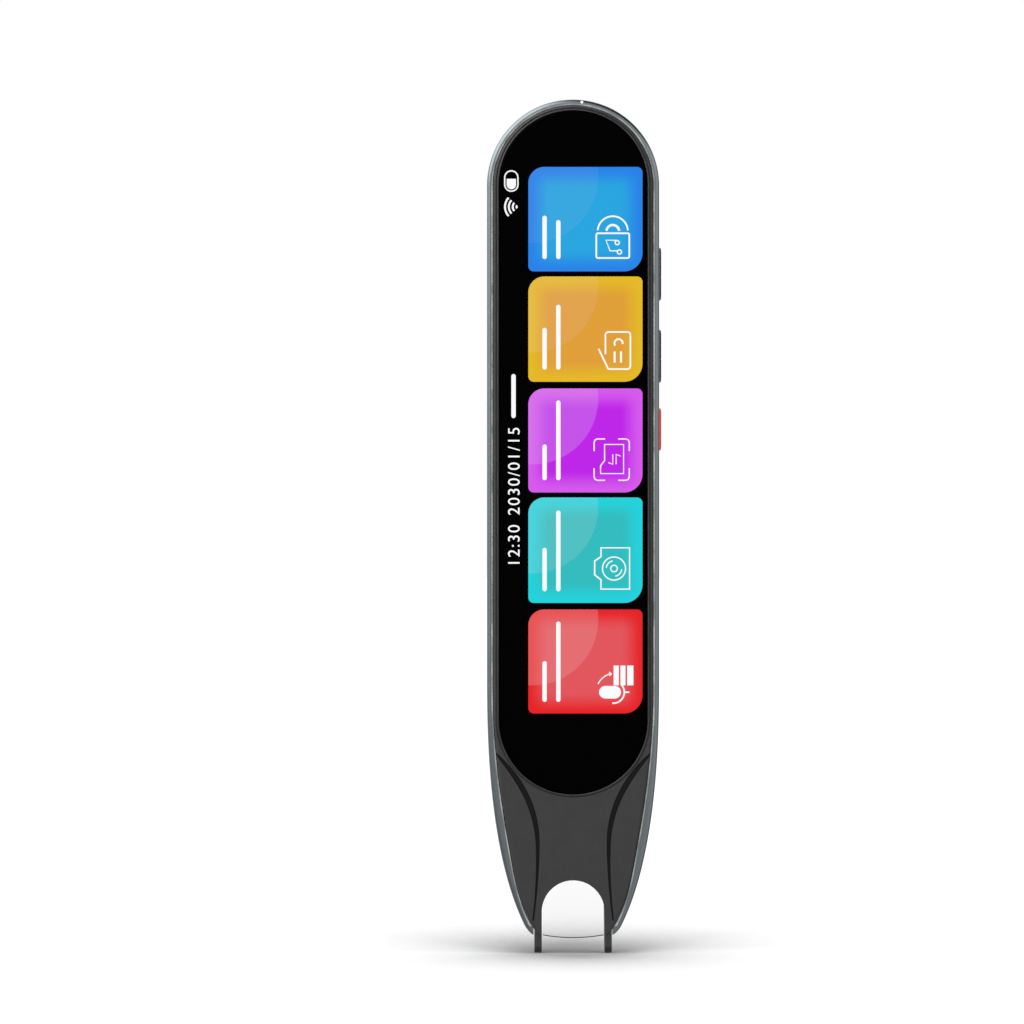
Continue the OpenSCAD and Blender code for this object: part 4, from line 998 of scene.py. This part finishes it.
# Hollowed out, open to the window, and drilled for the lens and the two lamps
shaped(tunnel, [
    deep(arch(ARCH_W - 2 * TUNNEL_T, -5, ARCH_TOP - TUNNEL_T), -4.0, 12),
    box(-5.6, 5.6, -6, -4.1, 0, 14.55), risen(disc(0, LENS_Y, LENS_HOLE_R, 48), 16.7, 24.2)
] + [risen(disc(s * LAMP_X, LENS_Y, LAMP_HOLE_R, 24), 18.7, 24.2) for s in (-1, 1)])
# Nylon as moulded: black and smooth, with a soft gloss.
liner = grained(
    finish_of("moulded_black_nylon", Specular_IOR_Level=0.17), 0.3, 0.005, (0.35, 0.48),
    ("#131415", "#181919")
)
# Inside it is painted dead black, so that no stray light reaches the camera; the darker colour also
# stands in for the shade inside the tunnel, as painted shade.
coat(tunnel, liner, grained(
    finish_of("flat_black_camera_paint", Specular_IOR_Level=0.05), 0.2, 0.01, (0.7, 0.8),
    ("#0b0b0b", "#0e0e0e")
))
for face in tunnel.data.polygons:
    face.material_index = 0 if face.normal.y > 0.3 and face.center.y > 0 else 1
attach(tunnel, "housing")
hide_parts("scan_tunnel")

# Clear polished sheet. Its lower edge is bowed; a thin band along it is painted dark grey and made
# less clear, a painted shade on the edge.
clear_window = grained(
    finish_of("clear_polycarbonate", IOR=1.2), 3.0, 0, (0.0, 0.04)
)
tree, shader, place = parts_of(clear_window)
flat = add(tree, "ShaderNodeVectorMath", {0: place, 1: (1, 0, 1)}, operation="MULTIPLY")
off = add(tree, "ShaderNodeVectorMath", {
    0: flat, 1: (0, 0, (WINDOW_FOOT + WINDOW_R) * MM)
}, operation="DISTANCE")
# The band along the edge that takes the painted shade.
edge = add(tree, "ShaderNodeMapRange", {
    "Value": off, "From Min": (WINDOW_R - 0.16) * MM, "From Max": (WINDOW_R - 0.1) * MM
})
add(tree, shader, {
    "Base Color": add(tree, "ShaderNodeMix", {
        0: edge, 6: "#eeeeee", 7: "#3a3a3a"
    }, data_type="RGBA"),
    "Transmission Weight": add(tree, "ShaderNodeMix", {0: edge, 2: 1.0, 3: 0.3})
})
coat(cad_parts["scan_window"], clear_window)

# A block that fills the roof, cut off along a slope from the angle LIT_FROM to LIT_TO.
front, back = (corner[1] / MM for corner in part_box("light_diffuser"))
diffuser = lofted("roof_diffuser", deep(
    bow(0, ARCH_TOP - ARCH_W / 2, ARCH_W / 2 - TUNNEL_T - 0.02, LIT_FROM, LIT_TO, 48), front, back
))


def softened(made, width, steps, angle):
    """Rounds the edges of a piece that are sharper than an angle, by a width in millimetres."""
    change = made.modifiers.new("edge", "BEVEL")
    change.width, change.segments, change.limit_method = width * MM, steps, "ANGLE"
    change.angle_limit = math.radians(angle)
    evaluated(made)


softened(diffuser, 0.1, 2, 40)
finished(diffuser.data)
# Milky acrylic, lit from above: white all through, with soft edges.
coat(diffuser, grained(
    finish_of("milky_acrylic", Base_Color="#f2f3f2", Subsurface_Weight=0.3,
              Emission_Color="#ffffff", Emission_Strength=0.5), 0.4, 0.002, (0.3, 0.4)
))
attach(diffuser, "housing")
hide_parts("light_diffuser")
# A small polished lens: near black, because nothing behind it is lit.
coat(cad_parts["scan_lens"], grained(
    finish_of("small_optical_glass", Base_Color="#05060c"), 0.5, 0, (0.02, 0.05)
))

# ---- Fork -------------------------------------------------------------------------------
# The fork is moulded in glass-filled nylon in one piece. Its two legs straddle the line of
# print; its bridge inside the shell rides on two springs and presses the scanning switch.

LEG_IN, LEG_L, LEG_FRONT, LEG_TIP_Y, LEG_FALL = 5.7, 13.4, -4.75, -3.0, 2.4
LEG_ROUND, TIP_ROUND, LEG_SOFT = 0.7, 0.45, 0.16
ARM_IN, ARM_OUT, ARM_FRONT, ARM_BACK, ARM_TOP = 6.7, 7.9, -3.6, -1.2, 27.2
BRIDGE_X, BRIDGE_T, PIN_R, PIN_Y, PIN_TOP = 6.8, 2.0, 0.8, -2.4, 29.1


def leg_back(z):
    """The back edge of a leg, which bends in towards its rounded tip."""
    reach = skin_y(LEG_IN, LEG_L, 0) + 0.2 - LEG_TIP_Y
    under = max(0, 1 - z / TIP_ROUND)
    corner = TIP_ROUND * (1 - math.sqrt(1 - under * under))
    return LEG_TIP_Y + reach * (1 - (1 - z / LEG_L) ** LEG_FALL) - corner


leg_side = [(LEG_FRONT, LEG_L)] + bow(LEG_FRONT + LEG_ROUND, LEG_ROUND, LEG_ROUND, 180, 270, 12)
leg_side += [(leg_back(z), z) for z in (LEG_L * (i / 48) ** 1.5 for i in range(49))]
fork = None
for s in (-1, 1):
    leg = lofted("fork_legs", [[(s * x, y, z) for y, z in leg_side] for x in (LEG_IN, LEG_OUT)])
    softened(leg, LEG_SOFT, 3, 50)
    arm = box(*sorted((s * ARM_IN, s * ARM_OUT)), ARM_FRONT, ARM_BACK, 9.4, ARM_TOP)
    parts = [arm, leg] if fork else [arm]
    fork = fork or leg
    shaped(fork, parts, "UNION")
shaped(fork, [box(-BRIDGE_X, BRIDGE_X, ARM_FRONT, ARM_BACK, ARM_TOP - BRIDGE_T, ARM_TOP),
              risen(disc(0, PIN_Y, PIN_R), ARM_TOP - 0.1, PIN_TOP)], "UNION")
# Glass-filled nylon from the mould: dull dark grey, going over to near black in the lowest
# millimetre or so of the tips.
fork_finish = grained(
    finish_of("glass_filled_nylon"), 0.3, 0.006, (0.4, 0.55), ("#2c2a2b", "#323031")
)
tree, shader, place = parts_of(fork_finish)
tip_darkening = add(tree, "ShaderNodeMapRange", {
    "Value": add(tree, "ShaderNodeSeparateXYZ", {0: place}).outputs[2],
    "From Min": 0.9 * MM, "From Max": 1.35 * MM
})
add(tree, shader, {"Base Color": add(tree, "ShaderNodeMix", {
    0: tip_darkening, 6: "#0b0b0b", 7: shader.inputs["Base Color"].links[0].from_socket
}, data_type="RGBA")})
coat(fork, fork_finish, liner)
for face in fork.data.polygons:
    face.material_index = 1 if face.normal.y > 0.4 else 0
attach(fork, "fork")
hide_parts("scan_nib")

# Two coil springs of steel wire push the fork down.
wire = bpy.data.objects.new("fork_springs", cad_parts["nib_springs"].data.copy())
bpy.context.scene.collection.objects.link(wire)
finished(wire.data, 60)
low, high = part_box("nib_springs")
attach(wire, "housing")
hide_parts("nib_springs")
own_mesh(wire)

# ---- Floor, light and camera ------------------------------------------------------------
# A white floor, with a shadow painted into it round the object's foot, under an even white surround
# with one wide light overhead. Only the gloss mirrors bright screens and lamps. The camera stands a
# little above the object's middle.

FLOOR = 4.0
floor_mesh = bpy.data.meshes.new("floor")
floor_mesh.from_pydata(
    [(-FLOOR, -FLOOR, 0), (FLOOR, -FLOOR, 0), (FLOOR, FLOOR, 0), (-FLOOR, FLOOR, 0)], [],
    [(0, 1, 2, 3)]
)
ground = bpy.data.objects.new("floor", floor_mesh)
bpy.context.scene.collection.objects.link(ground)
# White paper with a painted shadow: its colour falls to grey where ambient occlusion finds the
# object near, round and under its foot.
paper = finish_of("white_paper_floor_with_painted_shadow", Roughness=0.9, Specular_IOR_Level=0.0)
tree = paper.node_tree
# The light comes a little from the front, so the painted shadow leans to the back.
shadow_lean = add(tree, "ShaderNodeCombineXYZ", {1: -0.2, 2: 0.98})
painted_shadow_ao = add(tree, "ShaderNodeAmbientOcclusion", {"Distance": 80 * MM, "Normal": shadow_lean},
               samples=12).outputs["AO"]
share = add(tree, "ShaderNodeMapRange", {
    "Value": painted_shadow_ao, "From Min": 0.74, "From Max": 0.945
}, interpolation_type="SMOOTHSTEP")
add(tree, tree.nodes["Principled BSDF"], {"Base Color": add(tree, "ShaderNodeMix", {
    0: share, 6: "#aaaaaa", 7: "#f6f6f6"
}, data_type="RGBA")})
coat(ground, paper)
ground.visible_glossy = False

world = bpy.data.worlds.new("surround")
bpy.context.scene.world = world
world.use_nodes = True
tree = world.node_tree
tree.nodes.clear()
SKY = 1.09
# What the gloss mirrors, by its bearing from straight behind the object (0) over the keys' side
# (90) to the front (180): a grey card behind, bright screens on both sides of it, dark gaps
# between the screens and the front, and a grey front. It is brighter above than below.
SCREENS = [
    (-180, 0.62), (-165, 0.55), (-140, 0.42), (-100, 0.45), (-80, 0.9), (-70, 1.65), (-58, 1.75),
    (-50, 1.05), (-44, 0.86), (-35, 0.74), (-23, 0.87), (-11, 1.12), (8, 1.6), (25, 1.8),
    (35, 1.3), (46, 0.46), (62, 0.26), (85, 0.34), (117, 0.64), (145, 0.82), (165, 0.66),
    (180, 0.62)
]
BRIGHTEST, OVERHEAD = 1.8, 0.9


def grey(level):
    """A level of light as a share of the brightest screen's."""
    return [level / BRIGHTEST] * 3 + [1]


toward = add(tree, "ShaderNodeTexCoord").outputs["Generated"]
way = add(tree, "ShaderNodeSeparateXYZ", {0: toward}).outputs
bearing = add(tree, "ShaderNodeMath", {0: way[0], 1: way[1]}, operation="ARCTAN2")
ramp = add(tree, "ShaderNodeValToRGB", {0: add(tree, "ShaderNodeMath", {
    0: bearing, 1: 1 / math.tau, 2: 0.5
}, operation="MULTIPLY_ADD")})
stops = ramp.color_ramp.elements
for k, (angle, level) in enumerate(SCREENS):
    at = angle / 360 + 0.5
    stop = stops[0] if k == 0 else stops[-1] if at == 1 else stops.new(at)
    stop.position, stop.color = at, grey(level)
steep = add(tree, "ShaderNodeMapRange", {
    "Value": add(tree, "ShaderNodeMath", {0: way[2]}, operation="ABSOLUTE"),
    "From Min": 0.75, "From Max": 0.97
}, interpolation_type="SMOOTHSTEP")
card = add(tree, "ShaderNodeMix", {0: steep, 6: ramp, 7: grey(OVERHEAD)}, data_type="RGBA")
# Two lamps high on the left and low on the right of the camera, and a black flag above it: the
# way to each, its level, and how near to that way its rim and its core are.
SPOTS = [
    ((-0.58, -0.57, 0.58), 2.3, 0.78, 0.90), ((0.66, -0.70, 0.33), 1.0, 0.88, 0.97),
    ((0.38, -0.42, 0.82), 0.03, 0.80, 0.92)
]
for aim, level, rim, core in SPOTS:
    near = add(tree, "ShaderNodeMapRange", {
        "Value": add(tree, "ShaderNodeVectorMath", {0: toward, 1: Vector(aim).normalized()},
                     operation="DOT_PRODUCT"),
        "From Min": rim, "From Max": core
    }, interpolation_type="SMOOTHSTEP")
    card = add(tree, "ShaderNodeMix", {0: near, 6: card, 7: grey(level)}, data_type="RGBA")
rising = add(tree, "ShaderNodeMapRange", {
    "Value": way[2], "From Min": -0.25, "From Max": 0.25, "To Min": 0.78 * BRIGHTEST,
    "To Max": 1.22 * BRIGHTEST
})
studio = add(tree, "ShaderNodeBackground", {"Color": card, "Strength": rising})
rays = add(tree, "ShaderNodeLightPath").outputs
sky = add(tree, "ShaderNodeMix", {0: rays["Is Diffuse Ray"], 2: 1.0, 3: SKY})
plain = add(tree, "ShaderNodeBackground", {"Color": "#ffffff", "Strength": sky})
both = add(tree, "ShaderNodeMixShader", {0: rays["Is Glossy Ray"], 1: plain, 2: studio})
add(tree, "ShaderNodeOutputWorld", {"Surface": both})

# One very wide overhead light from the left: with the sky it makes the floor just white, and
# without it, close to the object, the floor falls to grey.
sun = bpy.data.lights.new("overhead_light", "SUN")
sun.energy, sun.angle = 0.5, math.radians(60)
sun_place = bpy.data.objects.new("overhead_light", sun)
sun_place.rotation_euler = Vector((-0.14, -0.26, 1.0)).to_track_quat("Z", "Y").to_euler()
sun_place.visible_glossy = False
bpy.context.scene.collection.objects.link(sun_place)

# The camera stands DISTANCE in front of the glass and HORIZON_Z up. The object's middle line and
# the horizon are placed in pixels of a picture that is 1024 pixels wide.
DISTANCE, PX_PER_MM, PICTURE = 830.0, 5.5, 1024
AXIS_PX, HORIZON_PX, HORIZON_Z = 573.2, 500, 82.5
view = bpy.data.cameras.new("camera")
view.sensor_width = 36
view.lens = 36 * DISTANCE * PX_PER_MM / PICTURE
view.shift_y = (HORIZON_PX - PICTURE / 2) / PICTURE
view.clip_start, view.clip_end = 0.01, 20
eye = bpy.data.objects.new("camera", view)
aside = (AXIS_PX - PICTURE / 2) / PX_PER_MM
eye.location = (-aside * MM, (FRONT_Y - DISTANCE) * MM, HORIZON_Z * MM)
eye.rotation_euler = (math.pi / 2, 0, 0)
bpy.context.scene.collection.objects.link(eye)
bpy.context.scene.camera = eye
bpy.context.scene.view_settings.view_transform = "Standard"
